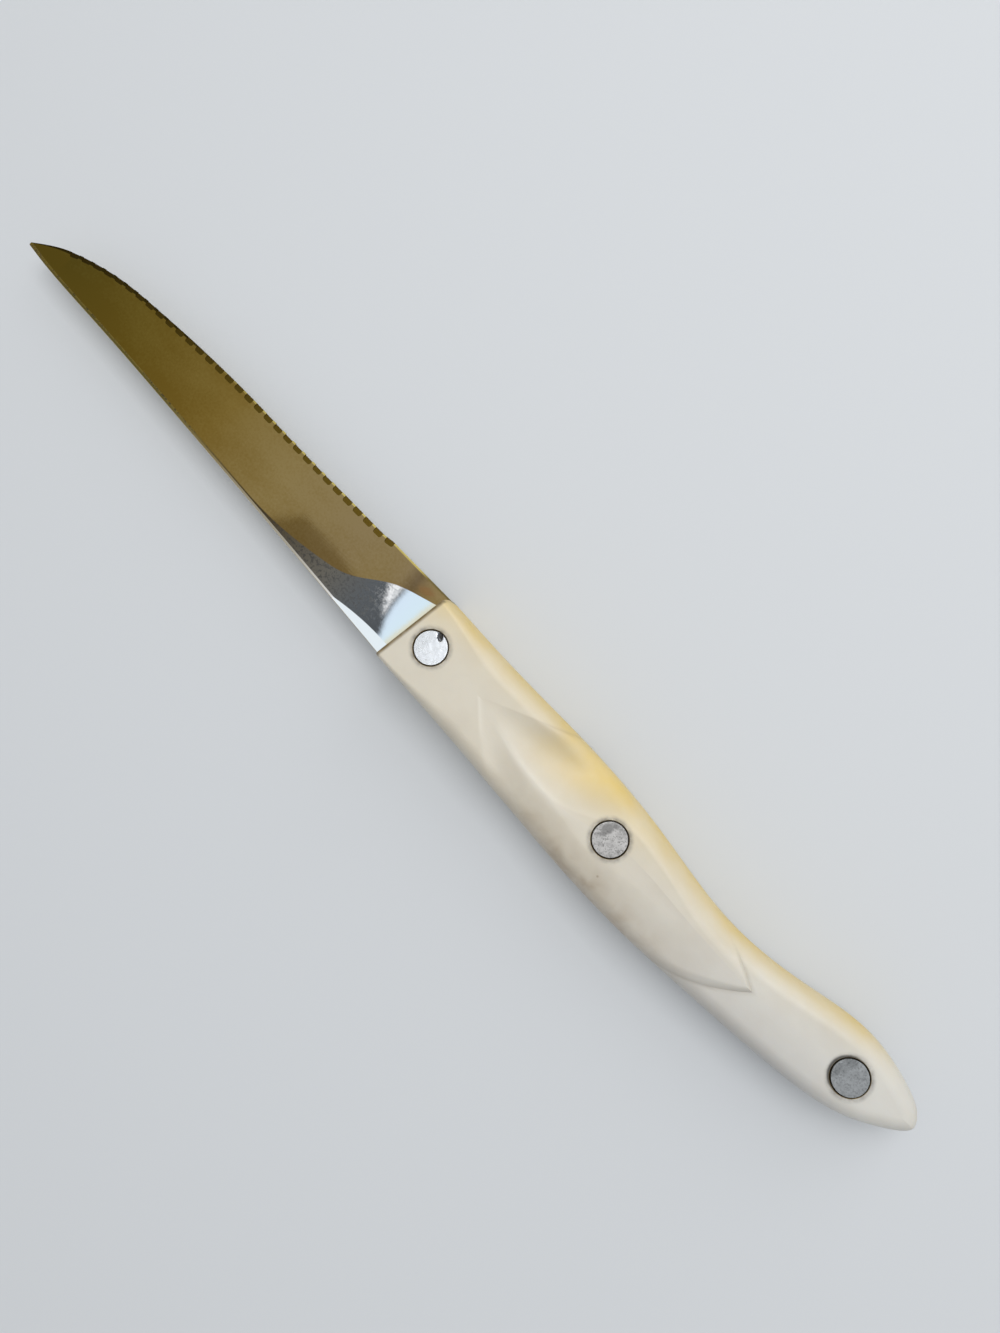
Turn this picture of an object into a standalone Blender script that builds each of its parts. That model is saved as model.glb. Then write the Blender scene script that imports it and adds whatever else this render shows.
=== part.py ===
"""Trimming knife: a serrated stainless blade whose hidden tang is riveted between two moulded handle halves.

Metres, +Z up. The knife lies on its left side with its right face up. +X runs from the tip to the butt and
+Y from the spine to the cutting edge. The origin is on the surface under the middle of the knife's box.
Everything is drawn about the knife's axis, with X = 0 at the handle's front and Z = 0 in the blade's middle
plane, and one empty carries it all to its place.
"""

import math

import bmesh
import bpy
import numpy as np

MM = 0.001

# Overall sizes
BLADE_LENGTH = 119.0 * MM
HANDLE_LENGTH = 125.6 * MM
FRONT_HALF = 7.0 * MM  # half the thickness at the handle's flat front and at its crest
REAR_HALF = 5.9 * MM  # half the thickness at the handle's flat rear
FRONT_SLANT = math.radians(8.0)  # lean of the line where the blade enters the handle

# Clearances
GAP = 0.3 * MM  # between pieces that touch
RIVET_RECESS = 0.1 * MM  # rivet heads below the handle's face

# Handle outline from the belly's front round the butt to the spine's front:
# share of the handle's length, and height above the knife's axis in millimetres
OUTLINE = (
    (0.0, 8.2),
    (0.167, 7.25),
    (0.366, 6.55),
    (0.486, 4.8),
    (0.641, 2.1),
    (0.772, 3.65),
    (0.884, 5.65),
    (0.963, 3.6),
    (0.991, 1.6),
    (1.0, -0.8),
    (0.991, -2.7),
    (0.971, -4.7),
    (0.923, -8.1),
    (0.836, -10.7),
    (0.685, -12.4),
    (0.51, -13.5),
    (0.366, -12.85),
    (0.207, -11.2),
    (0.0, -9.3),
)
EDGE_ROUND = 3.6 * MM  # how far in from the outline the moulded rounding reaches
FRONT_EDGE_ROUND = 1.3 * MM  # the same at the handle's front
ROUND_GROWS = 24.0 * MM  # from the front, where the rounding reaches its full width
ROUND_POWER = 2.3  # of the rounding's curve, where 2 is a plain ellipse

# Creases across the handle's face: shares of its length at the spine, at the ridge and at the belly
FRONT_CREASE = (0.245, 0.15, 0.296)
REAR_CREASE = (0.561, 0.717, 0.607)
REAR_BOW = (3.6 * MM, 0.9 * MM)  # of the rear crease's two arms, towards the butt

# Ridge of the grip from the front crease to the rear one, and the middle line behind it, as in OUTLINE
RIDGE = (
    (0.15, -0.6),
    (0.206, -2.3),
    (0.24, -3.5),
    (0.295, -4.5),
    (0.345, -4.5),
    (0.385, -3.5),
    (0.43, -2.16),
    (0.573, -2.5),
    (0.717, -3.5),
)
REAR_LINE = ((0.717, -3.5), (0.886, -2.02), (1.0, -0.8))
FRONT_LINE_Y = -0.45 * MM

# Relief of the grip, measured down from the crest
CREST_SHARE = 0.43  # where the crest and its rivet are, as a share of the handle's length
RIDGE_DIP = 0.3 * MM  # between the front crease and the crest
WEDGE_FALL = 0.35 * MM  # from the crest to the end of the rear wedge
WEDGE_RUN = (5.0 * MM, 1.6 * MM)  # length of the slope that ends the wedge, at the spine and at the belly
WEDGE_RUN_AT = 0.5  # share of the spine's side, from the ridge, where the slope has its length at the spine
WEDGE_POWER = 1.6  # of that slope's curve, where 1 is straight
HOLLOW_DEPTH = 2.7 * MM  # thumb hollow, at the belly
BELLY_FALL = 1.5 * MM  # convex side towards the belly, behind the hollow
SPINE_FALL = 2.1 * MM  # convex side towards the spine
SPINE_BULGE = 0.6  # how far that side bulges, from 0 where it is nearly straight
END_FALL = (0.35 * MM, 0.7 * MM)  # the spine's side and the belly's, where the wedge ends
RIDGE_LAND = 1.0 * MM  # flat strip on the wedge's ridge
RIDGE_SOFT = 0.12  # share of a side that the rounded ridge takes
CREASE_SOFT = 0.1  # share of a side's start that its rounded crease takes

# Where the relief changes, as shares of the way from the front crease to the rear one
HOLLOW_FULL = 0.24  # the thumb hollow reaches its depth
HOLLOW_CLOSES = 0.22  # it begins to fade into the crest
SPINE_FULL = 0.22  # the spine's side reaches its fall
LAND_STARTS = 0.3  # the flat land about the crest's rivet begins
LAND_NARROWS = (0.55, 0.85)  # it narrows to the ridge's strip
SIDES_LEVEL = 0.62  # the sides begin to level out towards the wedge's end

# Blade, in shares of its length from the tip and millimetres above the knife's axis
EDGE_LINE = (
    (0.0, -0.1),
    (0.05, 3.5),
    (0.11, 6.0),
    (0.175, 7.65),
    (0.27, 8.6),
    (0.44, 9.2),
    (0.65, 8.7),
    (0.83, 8.2),
)
SPINE_LINE = (
    (0.0, -0.7),
    (0.034, -1.25),
    (0.16, -2.3),
    (0.25, -2.85),
    (0.42, -4.15),
    (0.8, -7.4),
    (1.0, -9.3),
)
# Plunge line of the grind: share of the blade's length, and millimetres above the spine
PLUNGE_LINE = (
    (0.585, 0.8),
    (0.68, 1.05),
    (0.75, 2.2),
    (0.805, 3.6),
    (0.845, 5.1),
    (0.876, 7.4),
    (0.912, 10.7),
    (0.935, 12.2),
    (0.967, 13.7),
    (1.0, 15.2),
)
BLADE_STOCK = 2.0 * MM
TIP_STOCK = 1.0 * MM
TAPER_END = 0.55  # share of the blade where the stock reaches its full thickness
EDGE_THICKNESS = 0.35 * MM
SPINE_BEVEL = 2.5 * MM  # width at the handle
SPINE_BEVEL_TIP = 0.5 * MM  # width towards the tip
SPINE_BEVEL_SLOPE = 0.16  # its fall for each unit of its width
BEVEL_WIDENS = 0.8  # share of the blade where the bevel begins to widen
BEVEL_FULL = 8.0 * MM  # on a narrower blade the bevel narrows with it
LEAST_FLAT = 0.3 * MM  # between the spine's bevel and the grind
LEAST_FLAT_SHARE = 0.125  # the same at the narrow tip, as a share of the blade's width
LEAST_GRIND_SHARE = 0.05  # of the blade's width, where the grind runs out at the heel
FRONT_LEAN_FADE = 6  # how quickly the sections turn upright, away from the handle's leaning front
HEEL_LENGTH = 18.5 * MM  # edge left unsharpened in front of the handle
HEEL_STEP = 0.3 * MM  # how far the heel stands out of the ground edge
HEEL_RUN = 2.5 * MM

# Serration ground into the right face
SERRATION_PITCH = 3.0 * MM
SERRATION_WIDTH = 2.1 * MM
SERRATION_REACH = 1.15 * MM  # in from the edge
SERRATION_CORNER = 0.45 * MM
SERRATION_SILL = 0.06 * MM  # wall at the inner side
SERRATION_LEFT = 0.08 * MM  # edge thickness left in a recess
TIP_PLAIN = 9.0 * MM  # plain edge at the tip

# Tang inside the handle
TANG_THICKNESS = 1.7 * MM
TANG_INSET = 3.6 * MM  # in from the handle's outline
TANG_ROOT = 4.0 * MM  # overlap with the blade, where the two are one piece
TANG_LUG = 4.2 * MM  # round end about the rear rivet

# Two-piece rivets
FRONT_RIVET_BACK = 5.8 * MM  # from the handle's front
REAR_RIVET_AHEAD = 14.3 * MM  # from the butt
RIVET_HEAD_RADIUS = 3.35 * MM
RIVET_HEAD_DEPTH = 1.6 * MM
RIVET_HEAD_CHAMFER = 0.15 * MM
RIVET_SHANK_RADIUS = 2.2 * MM
RIVET_PIN_RADIUS = 1.1 * MM

# Mesh densities
FRONT_ROWS = 8
HOLLOW_ROWS = 8
WEDGE_ROWS = 16
END_ROWS = 6
REAR_ROWS = 22
FLAT_COLUMNS = 6
ROUND_COLUMNS = 6
ROUND_MOST = 0.98  # the rounding's largest share of the way from rim to ridge
ARM_SAMPLES = 120
BLADE_ROWS = 44
BLADE_ROW_CROWDING = (1.3, 1.15)  # of the rows at the tip and at the handle, where 1 is even
TANG_ROWS = 19
LUG_STEPS = 13
TURN_STEPS = 32
CORNER_STEPS = 3
EDGE_STEP = 0.5 * MM  # over which the edge's direction is taken
OUTLINE_SAMPLES = 500
WELD = 0.01 * MM

# Edges sharper than these stay sharp in the shading
CREASE_ANGLE = math.radians(35.0)
HANDLE_CREASE_ANGLE = math.radians(20.0)
BLADE_CREASE_ANGLE = math.radians(3.0)

# Colours
RESIN_COLOUR = (0.62, 0.55, 0.42, 1.0)
STEEL_COLOUR = (0.56, 0.54, 0.5, 1.0)
RIVET_COLOUR = (0.45, 0.45, 0.45, 1.0)


class SmoothCurve:
    """A natural cubic curve through plane knots, spaced by chord length and read from 0 to 1."""

    def __init__(self, knots):
        self.knots = np.array(knots)
        chords = np.linalg.norm(np.diff(self.knots, axis=0), axis=1)
        self.place = np.concatenate([[0.0], np.cumsum(chords)]) / chords.sum()
        self.step = np.diff(self.place)
        count = len(self.knots)
        system = np.eye(count)
        bend = np.zeros_like(self.knots)
        for i in range(1, count - 1):
            before, after = self.step[i - 1], self.step[i]
            system[i, i - 1 : i + 2] = before, 2 * (before + after), after
            bend[i] = 6 * (self.knots[i + 1] - self.knots[i]) / after
            bend[i] -= 6 * (self.knots[i] - self.knots[i - 1]) / before
        self.second = np.linalg.solve(system, bend)

    def at(self, t):
        i = int(np.clip(np.searchsorted(self.place, t) - 1, 0, len(self.step) - 1))
        a = (self.place[i + 1] - t) / self.step[i]
        b = 1 - a
        curl = (a**3 - a) * self.second[i] + (b**3 - b) * self.second[i + 1]
        return a * self.knots[i] + b * self.knots[i + 1] + curl * self.step[i] ** 2 / 6

    def points(self, start, end, count):
        return np.array([self.at(t) for t in np.linspace(start, end, count)])

    def place_of_x(self, x, start, end):
        """Where the curve passes x, between two places along which x runs one way."""
        places = np.linspace(start, end, OUTLINE_SAMPLES)
        xs = self.points(start, end, OUTLINE_SAMPLES)[:, 0]
        order = np.argsort(xs)
        return float(np.interp(x, xs[order], places[order]))


def smooth_step(t):
    t = min(max(t, 0.0), 1.0)
    return t * t * (3 - 2 * t)


def mix(a, b, t):
    return a + (b - a) * t


def in_metres(knots, length, start=0.0):
    """Knots given as a share of a length and millimetres, as points in metres."""
    return [(start + share * length, height * MM) for share, height in knots]


def front_x(y):
    """The leaning line of the handle's front."""
    return y * math.tan(FRONT_SLANT)


def handle_outline():
    """The handle's outline, with its two front corners on the leaning front."""
    knots = in_metres(OUTLINE, HANDLE_LENGTH)
    for corner in (0, -1):
        knots[corner] = (front_x(knots[corner][1]), knots[corner][1])
    return SmoothCurve(knots)


CREASE_RUN = REAR_CREASE[1] - FRONT_CREASE[1]
CREST_AT = (CREST_SHARE - FRONT_CREASE[1]) / CREASE_RUN
WEDGE_END = tuple(run / (CREASE_RUN * HANDLE_LENGTH) for run in WEDGE_RUN)
HANDLE = handle_outline()
BELLY_FRONT, SPINE_FRONT = HANDLE.knots[0], HANDLE.knots[-1]
BUTT = HANDLE.place[[share for share, _ in OUTLINE].index(1.0)]
HANDLE_RIM = HANDLE.points(0.0, 1.0, OUTLINE_SAMPLES)
RIDGE_CURVE = SmoothCurve(in_metres(RIDGE, HANDLE_LENGTH))
REAR_CURVE = SmoothCurve(in_metres(REAR_LINE, HANDLE_LENGTH))
EDGE_CURVE = SmoothCurve(in_metres(EDGE_LINE, BLADE_LENGTH, -BLADE_LENGTH)).points(0, 1, OUTLINE_SAMPLES)
SPINE_CURVE = SmoothCurve(in_metres(SPINE_LINE, BLADE_LENGTH, -BLADE_LENGTH)).points(0, 1, OUTLINE_SAMPLES)
PLUNGE_CURVE = SmoothCurve(in_metres(PLUNGE_LINE, BLADE_LENGTH, -BLADE_LENGTH)).points(0, 1, OUTLINE_SAMPLES)


def belly_place(x):
    return HANDLE.place_of_x(x, 0.0, BUTT)


def spine_place(x):
    return HANDLE.place_of_x(x, 1.0, BUTT)


def rim_distance(points):
    """Distance of each point from the handle's outline."""
    start = HANDLE_RIM[:-1]
    along = HANDLE_RIM[1:] - start
    lengths = (along**2).sum(axis=1)
    offset = points[:, None, :] - start[None]
    share = np.clip((offset * along).sum(axis=2) / lengths, 0, 1)
    return np.linalg.norm(offset - share[..., None] * along, axis=2).min(axis=1)


def ramp(value, start, end):
    return smooth_step((value - start) / (end - start))


def quick_start(value, full):
    """Rises quickly from 0 and levels out at 1, which leaves a soft crease where it starts."""
    t = min(value / full, 1.0)
    return math.sin(math.pi / 2 * t) * t * (1 + CREASE_SOFT) / (t + CREASE_SOFT)


def grip_height(a, reach, arm, to_belly):
    """Height of the grip's face.

    a runs from the front crease to the rear one. reach is the way gone from the ridge to the rim, out of arm.
    """
    dip = math.sin(math.pi * min(a / CREST_AT, 1.0)) ** 2
    top = FRONT_HALF - RIDGE_DIP * dip - WEDGE_FALL * ramp(a, CREST_AT, 1.0)
    rivet_land = (RIVET_HEAD_RADIUS + GAP) * ramp(a, LAND_STARTS, CREST_AT)
    land = mix(rivet_land, RIDGE_LAND, ramp(a, *LAND_NARROWS))
    side = max(reach - land, 0.0) / (arm - land)
    soft = side**2 * (1 + RIDGE_SOFT) / (side + RIDGE_SOFT)
    end_at_spine, end_at_belly = WEDGE_END
    if to_belly:
        closing = ramp(a, HOLLOW_CLOSES, CREST_AT)
        depth = quick_start(a, HOLLOW_FULL) * mix(HOLLOW_DEPTH, BELLY_FALL, closing)
        scoop = mix(1 - (1 - soft) ** 2, side**2, closing)
        end = end_at_belly
    else:
        depth = quick_start(a, SPINE_FULL) * SPINE_FALL
        scoop = mix(soft, side**2, SPINE_BULGE)
        end = mix(end_at_belly, end_at_spine, min(side / WEDGE_RUN_AT, 1.0))
    height = top - mix(depth, END_FALL[int(to_belly)], ramp(a, SIDES_LEVEL, 1.0)) * scoop
    left = min((1 - a) / end, 1.0)
    return mix(REAR_HALF, height, 1 - (1 - left) ** WEDGE_POWER)


def cross_lines():
    """Lines across the handle's face from front to butt: zone, share of it, spine, ridge, belly, bows."""
    front_middle = np.array((front_x(FRONT_LINE_Y), FRONT_LINE_Y))
    crease_x = [[share * HANDLE_LENGTH for share in crease] for crease in (FRONT_CREASE, REAR_CREASE)]
    spine_ends = [spine_place(xs[0]) for xs in crease_x]
    belly_ends = [belly_place(xs[2]) for xs in crease_x]
    no_bow = (0.0, 0.0)
    lines = []
    for t in np.linspace(0, 1, FRONT_ROWS, endpoint=False):
        spine = HANDLE.at(mix(1.0, spine_ends[0], t))
        belly = HANDLE.at(mix(0.0, belly_ends[0], t))
        lines.append(("front", t, spine, mix(front_middle, RIDGE_CURVE.at(0), t), belly, no_bow))
    hollow_rows = np.linspace(0, HOLLOW_FULL, HOLLOW_ROWS, endpoint=False)
    wedge_end = max(WEDGE_END)
    wedge_rows = np.linspace(HOLLOW_FULL, 1 - wedge_end, WEDGE_ROWS, endpoint=False)
    end_rows = 1 - wedge_end * (1 - np.linspace(0, 1, END_ROWS)) ** 2
    for a in np.concatenate([hollow_rows, wedge_rows, end_rows]):
        spine = HANDLE.at(mix(spine_ends[0], spine_ends[1], a))
        belly = HANDLE.at(mix(belly_ends[0], belly_ends[1], a))
        bows = tuple(bow * a for bow in REAR_BOW)
        lines.append(("grip", a, spine, RIDGE_CURVE.at(a), belly, bows))
    for t in 1 - (1 - np.linspace(0, 1, REAR_ROWS + 1)[1:-1]) ** 2:
        spine = HANDLE.at(mix(spine_ends[1], BUTT, t))
        belly = HANDLE.at(mix(belly_ends[1], BUTT, t))
        bows = tuple(bow * (1 - t) ** 2 for bow in REAR_BOW)
        lines.append(("rear", t, spine, REAR_CURVE.at(t), belly, bows))
    return lines


def face_height(zone, a, reach, arm, to_belly):
    if zone == "grip":
        return grip_height(a, reach, arm, to_belly)
    return FRONT_HALF if zone == "front" else REAR_HALF


def arm_points(zone, a, ridge, rim, bow, to_belly):
    """Points from the ridge out to the rim: a flat stretch, then the moulded rounding."""
    along = rim - ridge
    arm = np.linalg.norm(along)
    across = np.array((abs(along[1]), -along[0] * np.sign(along[1]))) / arm
    control = (ridge + rim) / 2 + bow * across
    q = np.linspace(0, 1, ARM_SAMPLES)[:, None]
    path = (1 - q) ** 2 * ridge + 2 * q * (1 - q) * control + q**2 * rim
    distance = rim_distance(path)
    distance[-1] = 0.0
    edge_round = mix(FRONT_EDGE_ROUND, EDGE_ROUND, ramp(rim[0], 0.0, ROUND_GROWS))
    inner = min(edge_round, ROUND_MOST * distance[0])
    rounding = inner * (1 - np.sin(np.linspace(0, math.pi / 2, ROUND_COLUMNS + 1)))
    q_round = np.interp(rounding, distance[::-1], q[::-1, 0])
    q_flat = np.linspace(0, q_round[0], FLAT_COLUMNS + 1)[:-1]
    points = []
    for share in np.concatenate([q_flat, q_round]):
        x, y = (np.interp(share, q[:, 0], path[:, i]) for i in (0, 1))
        depth = min(np.interp(share, q[:, 0], distance) / edge_round, 1.0)
        rise = (1 - (1 - depth) ** ROUND_POWER) ** (1 / ROUND_POWER)
        points.append((x, y, mix(GAP / 2, face_height(zone, a, share * arm, arm, to_belly), rise)))
    return points


def new_object(name, mesh, collection, material=None, parent=None):
    obj = bpy.data.objects.new(name, mesh)
    obj.parent = parent
    collection.objects.link(obj)
    if material:
        mesh.materials.clear()
        mesh.materials.append(material)
    return obj


def finish_mesh(name, bm, crease_angle=CREASE_ANGLE):
    """A mesh from a bmesh, facing outwards and shaded smooth but for its creases."""
    bmesh.ops.recalc_face_normals(bm, faces=bm.faces)
    mesh = bpy.data.meshes.new(name)
    bm.to_mesh(mesh)
    bm.free()
    mesh.shade_smooth()
    mesh.set_sharp_from_angle(angle=crease_angle)
    return mesh


def handle_mesh(name, side):
    """One moulded half, lofted over the cross lines and closed at the parting plane. side is 1 or -1."""
    bm = bmesh.new()
    rows = []
    for zone, a, spine, ridge, belly, bows in cross_lines():
        lower = arm_points(zone, a, ridge, spine, bows[0], False)
        upper = arm_points(zone, a, ridge, belly, bows[1], True)
        row = lower[::-1] + upper[1:]
        rows.append([bm.verts.new((x, y, side * z)) for x, y, z in row])
    butt = HANDLE.at(BUTT)
    pole = bm.verts.new((butt[0], butt[1], side * GAP / 2))
    for before, after in zip(rows, rows[1:]):
        for i in range(len(before) - 1):
            bm.faces.new((before[i], before[i + 1], after[i + 1], after[i]))
    for i in range(len(rows[-1]) - 1):
        bm.faces.new((rows[-1][i], rows[-1][i + 1], pole))
    bm.faces.new([row[0] for row in rows] + [pole] + [row[-1] for row in reversed(rows)])
    bm.faces.new(rows[0])
    return finish_mesh(name, bm, HANDLE_CREASE_ANGLE)


def blade_edge(x):
    """Height of the cutting edge, with the heel standing a little out of the ground part."""
    heel_start = -HEEL_LENGTH
    ground = np.interp(x, EDGE_CURVE[:, 0], EDGE_CURVE[:, 1])
    heel = mix(EDGE_CURVE[-1, 1] + HEEL_STEP, BELLY_FRONT[1], (x - heel_start) / HEEL_LENGTH)
    return mix(ground, heel, smooth_step((x - heel_start) / HEEL_RUN))


def blade_section(a):
    """Right side of the blade's section, from spine to edge, at a share of its length from the tip."""
    x = (a - 1) * BLADE_LENGTH
    lean = a**FRONT_LEAN_FADE
    spine = np.interp(x, SPINE_CURVE[:, 0], SPINE_CURVE[:, 1])
    edge = blade_edge(x)
    half = mix(TIP_STOCK, BLADE_STOCK, smooth_step(a / TAPER_END)) / 2
    room = edge - spine
    bevel = mix(SPINE_BEVEL_TIP, SPINE_BEVEL, ramp(a, BEVEL_WIDENS, 1.0)) * min(1.0, room / BEVEL_FULL)
    plunge = spine + np.interp(x, PLUNGE_CURVE[:, 0], PLUNGE_CURVE[:, 1])
    first = spine + bevel + min(LEAST_FLAT, LEAST_FLAT_SHARE * room)
    grind = min(max(plunge, first), edge - LEAST_GRIND_SHARE * room)
    blunt = smooth_step((x + HEEL_LENGTH) / HEEL_LENGTH)
    outline = (
        (spine, half - SPINE_BEVEL_SLOPE * bevel),
        (spine + bevel, half),
        (grind, half),
        (edge, mix(EDGE_THICKNESS / 2, half, blunt)),
    )
    return [(x - GAP * a + lean * front_x(y), y, z) for y, z in outline]


def blade_mesh(name):
    """The blade's loft from the tip to the shoulder that meets the handle's front."""
    bm = bmesh.new()
    rings = []
    tip_crowd, heel_crowd = BLADE_ROW_CROWDING
    for a in 1 - (1 - np.linspace(0, 1, BLADE_ROWS) ** tip_crowd) ** heel_crowd:
        right = blade_section(a)
        left = [(x, y, -z) for x, y, z in reversed(right)]
        rings.append([bm.verts.new(point) for point in right + left])
    for before, after in zip(rings, rings[1:]):
        for i in range(len(before)):
            j = (i + 1) % len(before)
            bm.faces.new((before[i], before[j], after[j], after[i]))
    bm.faces.new(rings[0])
    bm.faces.new(rings[-1])
    return finish_mesh(name, bm, BLADE_CREASE_ANGLE)


def serration_mesh(name):
    """Cutters for the recesses along the edge: each is a rounded bay whose floor slopes down to the edge."""
    bm = bmesh.new()
    half = SERRATION_WIDTH / 2
    corner = SERRATION_CORNER
    reach = SERRATION_REACH
    overshoot = SERRATION_REACH / 2
    turn = np.linspace(0, math.pi / 2, CORNER_STEPS + 1)
    left = [(-half + corner * (1 - math.cos(t)), reach - corner * (1 - math.sin(t))) for t in turn]
    bay = [(-half, -overshoot)] + left + [(-u, v) for u, v in reversed(left)] + [(half, -overshoot)]
    face_slope = (BLADE_STOCK - EDGE_THICKNESS) / 2 / (BELLY_FRONT[1] - SPINE_FRONT[1])
    inner = EDGE_THICKNESS / 2 + face_slope * reach - SERRATION_SILL
    floor_slope = (inner + EDGE_THICKNESS / 2 - SERRATION_LEFT) / reach
    x = -HEEL_LENGTH + HEEL_RUN / 2
    while x > -BLADE_LENGTH + TIP_PLAIN:
        slope = (blade_edge(x + EDGE_STEP) - blade_edge(x - EDGE_STEP)) / (2 * EDGE_STEP)
        tangent = np.array((1.0, slope)) / math.hypot(1.0, slope)
        inward = np.array((tangent[1], -tangent[0]))
        foot = np.array((x, blade_edge(x)))
        floor = []
        for u, v in bay:
            place = foot + u * tangent + v * inward
            floor.append(bm.verts.new((place[0], place[1], inner - floor_slope * (reach - v))))
        base = bm.faces.new(floor)
        top = bmesh.ops.extrude_face_region(bm, geom=[base], use_keep_orig=True)["geom"]
        lifted = [item for item in top if isinstance(item, bmesh.types.BMVert)]
        bmesh.ops.translate(bm, verts=lifted, vec=(0, 0, BLADE_STOCK))
        x -= SERRATION_PITCH * tangent[0]
    return finish_mesh(name, bm)


def flat_solid(name, points, half_thickness):
    """A flat outline given its thickness about the middle plane, as a mesh."""
    curve = bpy.data.curves.new(name, "CURVE")
    curve.dimensions = "2D"
    curve.fill_mode = "BOTH"
    curve.extrude = half_thickness
    spline = curve.splines.new("POLY")
    spline.points.add(len(points) - 1)
    spline.use_cyclic_u = True
    for spot, (x, y) in zip(spline.points, points):
        spot.co = (x, y, 0, 1)
    drawn = bpy.data.objects.new(name, curve)
    bpy.context.scene.collection.objects.link(drawn)
    bpy.context.view_layer.update()
    mesh = bpy.data.meshes.new_from_object(drawn.evaluated_get(bpy.context.evaluated_depsgraph_get()))
    bpy.data.objects.remove(drawn)
    bpy.data.curves.remove(curve)
    bm = bmesh.new()
    bm.from_mesh(mesh)
    bpy.data.meshes.remove(mesh)
    bmesh.ops.remove_doubles(bm, verts=bm.verts, dist=WELD)
    return finish_mesh(name, bm)


def tang_outline(front, grow):
    """The tang's outline from its front to the round lug at the rear rivet, grown for its pocket."""
    rear = rivet_places()["rear"]
    inset = TANG_INSET - grow
    xs = np.linspace(0, rear[0], TANG_ROWS)
    upper = [(x, HANDLE.at(belly_place(x))[1] - inset) for x in xs]
    lower = [(x, HANDLE.at(spine_place(x))[1] + inset) for x in xs]
    upper[0] = (front, upper[0][1])
    lower[0] = (front, lower[0][1])
    lug = TANG_LUG + grow
    top = upper[-1][1] - rear[1]
    bottom = rear[1] - lower[-1][1]
    turn = np.linspace(math.pi / 2, -math.pi / 2, LUG_STEPS)[1:-1]
    end = [(rear[0] + lug * math.cos(t), rear[1] + (top if t > 0 else bottom) * math.sin(t)) for t in turn]
    return upper + end + lower[::-1]


def rivet_places():
    """Rivet centres on the handle's middle line, each with half the handle's thickness there."""
    ridge_front = RIDGE_CURVE.at(0)
    front_y = mix(FRONT_LINE_Y, ridge_front[1], FRONT_RIVET_BACK / ridge_front[0])
    middle = RIDGE_CURVE.at(RIDGE_CURVE.place_of_x(CREST_SHARE * HANDLE_LENGTH, 0, 1))
    rear = REAR_CURVE.at(REAR_CURVE.place_of_x(HANDLE_LENGTH - REAR_RIVET_AHEAD, 0, 1))
    return {
        "front": (FRONT_RIVET_BACK, front_y, FRONT_HALF),
        "middle": (*middle, FRONT_HALF),
        "rear": (*rear, REAR_HALF),
    }


def turned(name, profile, collection, material=None, parent=None):
    """A profile of radius and height, listed from the top down its outer side, turned about Z."""
    bm = bmesh.new()
    verts = [bm.verts.new((radius, 0, height)) for radius, height in profile]
    for before, after in zip(verts, verts[1:]):
        bm.edges.new((before, after))
    mesh = bpy.data.meshes.new(name)
    bm.to_mesh(mesh)
    bm.free()
    obj = new_object(name, mesh, collection, material, parent)
    screw = obj.modifiers.new("turn", "SCREW")
    screw.axis = "Z"
    screw.steps = TURN_STEPS
    screw.render_steps = TURN_STEPS
    screw.use_merge_vertices = True
    screw.merge_threshold = WELD
    return obj


def male_profile(half):
    """Right half of a rivet: a head with a pin that reaches into the other half's bore."""
    top = half - RIVET_RECESS
    under = top - RIVET_HEAD_DEPTH
    end = -half + RIVET_RECESS + RIVET_HEAD_DEPTH + GAP
    return (
        (0, top),
        (RIVET_HEAD_RADIUS - RIVET_HEAD_CHAMFER, top),
        (RIVET_HEAD_RADIUS, top - RIVET_HEAD_CHAMFER),
        (RIVET_HEAD_RADIUS, under),
        (RIVET_PIN_RADIUS, under),
        (RIVET_PIN_RADIUS, end),
        (0, end),
    )


def female_profile(half):
    """Left half of a rivet: a head with a hollow shank, bored down to the head."""
    bottom = -half + RIVET_RECESS
    over = bottom + RIVET_HEAD_DEPTH
    mouth = half - RIVET_RECESS - RIVET_HEAD_DEPTH - GAP
    return (
        (0, over),
        (RIVET_PIN_RADIUS + GAP, over),
        (RIVET_PIN_RADIUS + GAP, mouth),
        (RIVET_SHANK_RADIUS, mouth),
        (RIVET_SHANK_RADIUS, over),
        (RIVET_HEAD_RADIUS, over),
        (RIVET_HEAD_RADIUS, bottom + RIVET_HEAD_CHAMFER),
        (RIVET_HEAD_RADIUS - RIVET_HEAD_CHAMFER, bottom),
        (0, bottom),
    )


def bore_profile(half):
    """The stepped hole for a rivet through both handle halves and the tang."""
    past = half + 2 * RIVET_HEAD_DEPTH
    seat = half - RIVET_RECESS - RIVET_HEAD_DEPTH - GAP
    head = RIVET_HEAD_RADIUS + GAP
    shank = RIVET_SHANK_RADIUS + GAP
    upper = ((0, past), (head, past), (head, seat), (shank, seat))
    return upper + tuple((radius, -height) for radius, height in reversed(upper))


def cut(obj, cutter, operation="DIFFERENCE"):
    boolean = obj.modifiers.new(cutter.name, "BOOLEAN")
    boolean.operation = operation
    boolean.solver = "EXACT"
    boolean.object = cutter


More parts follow.
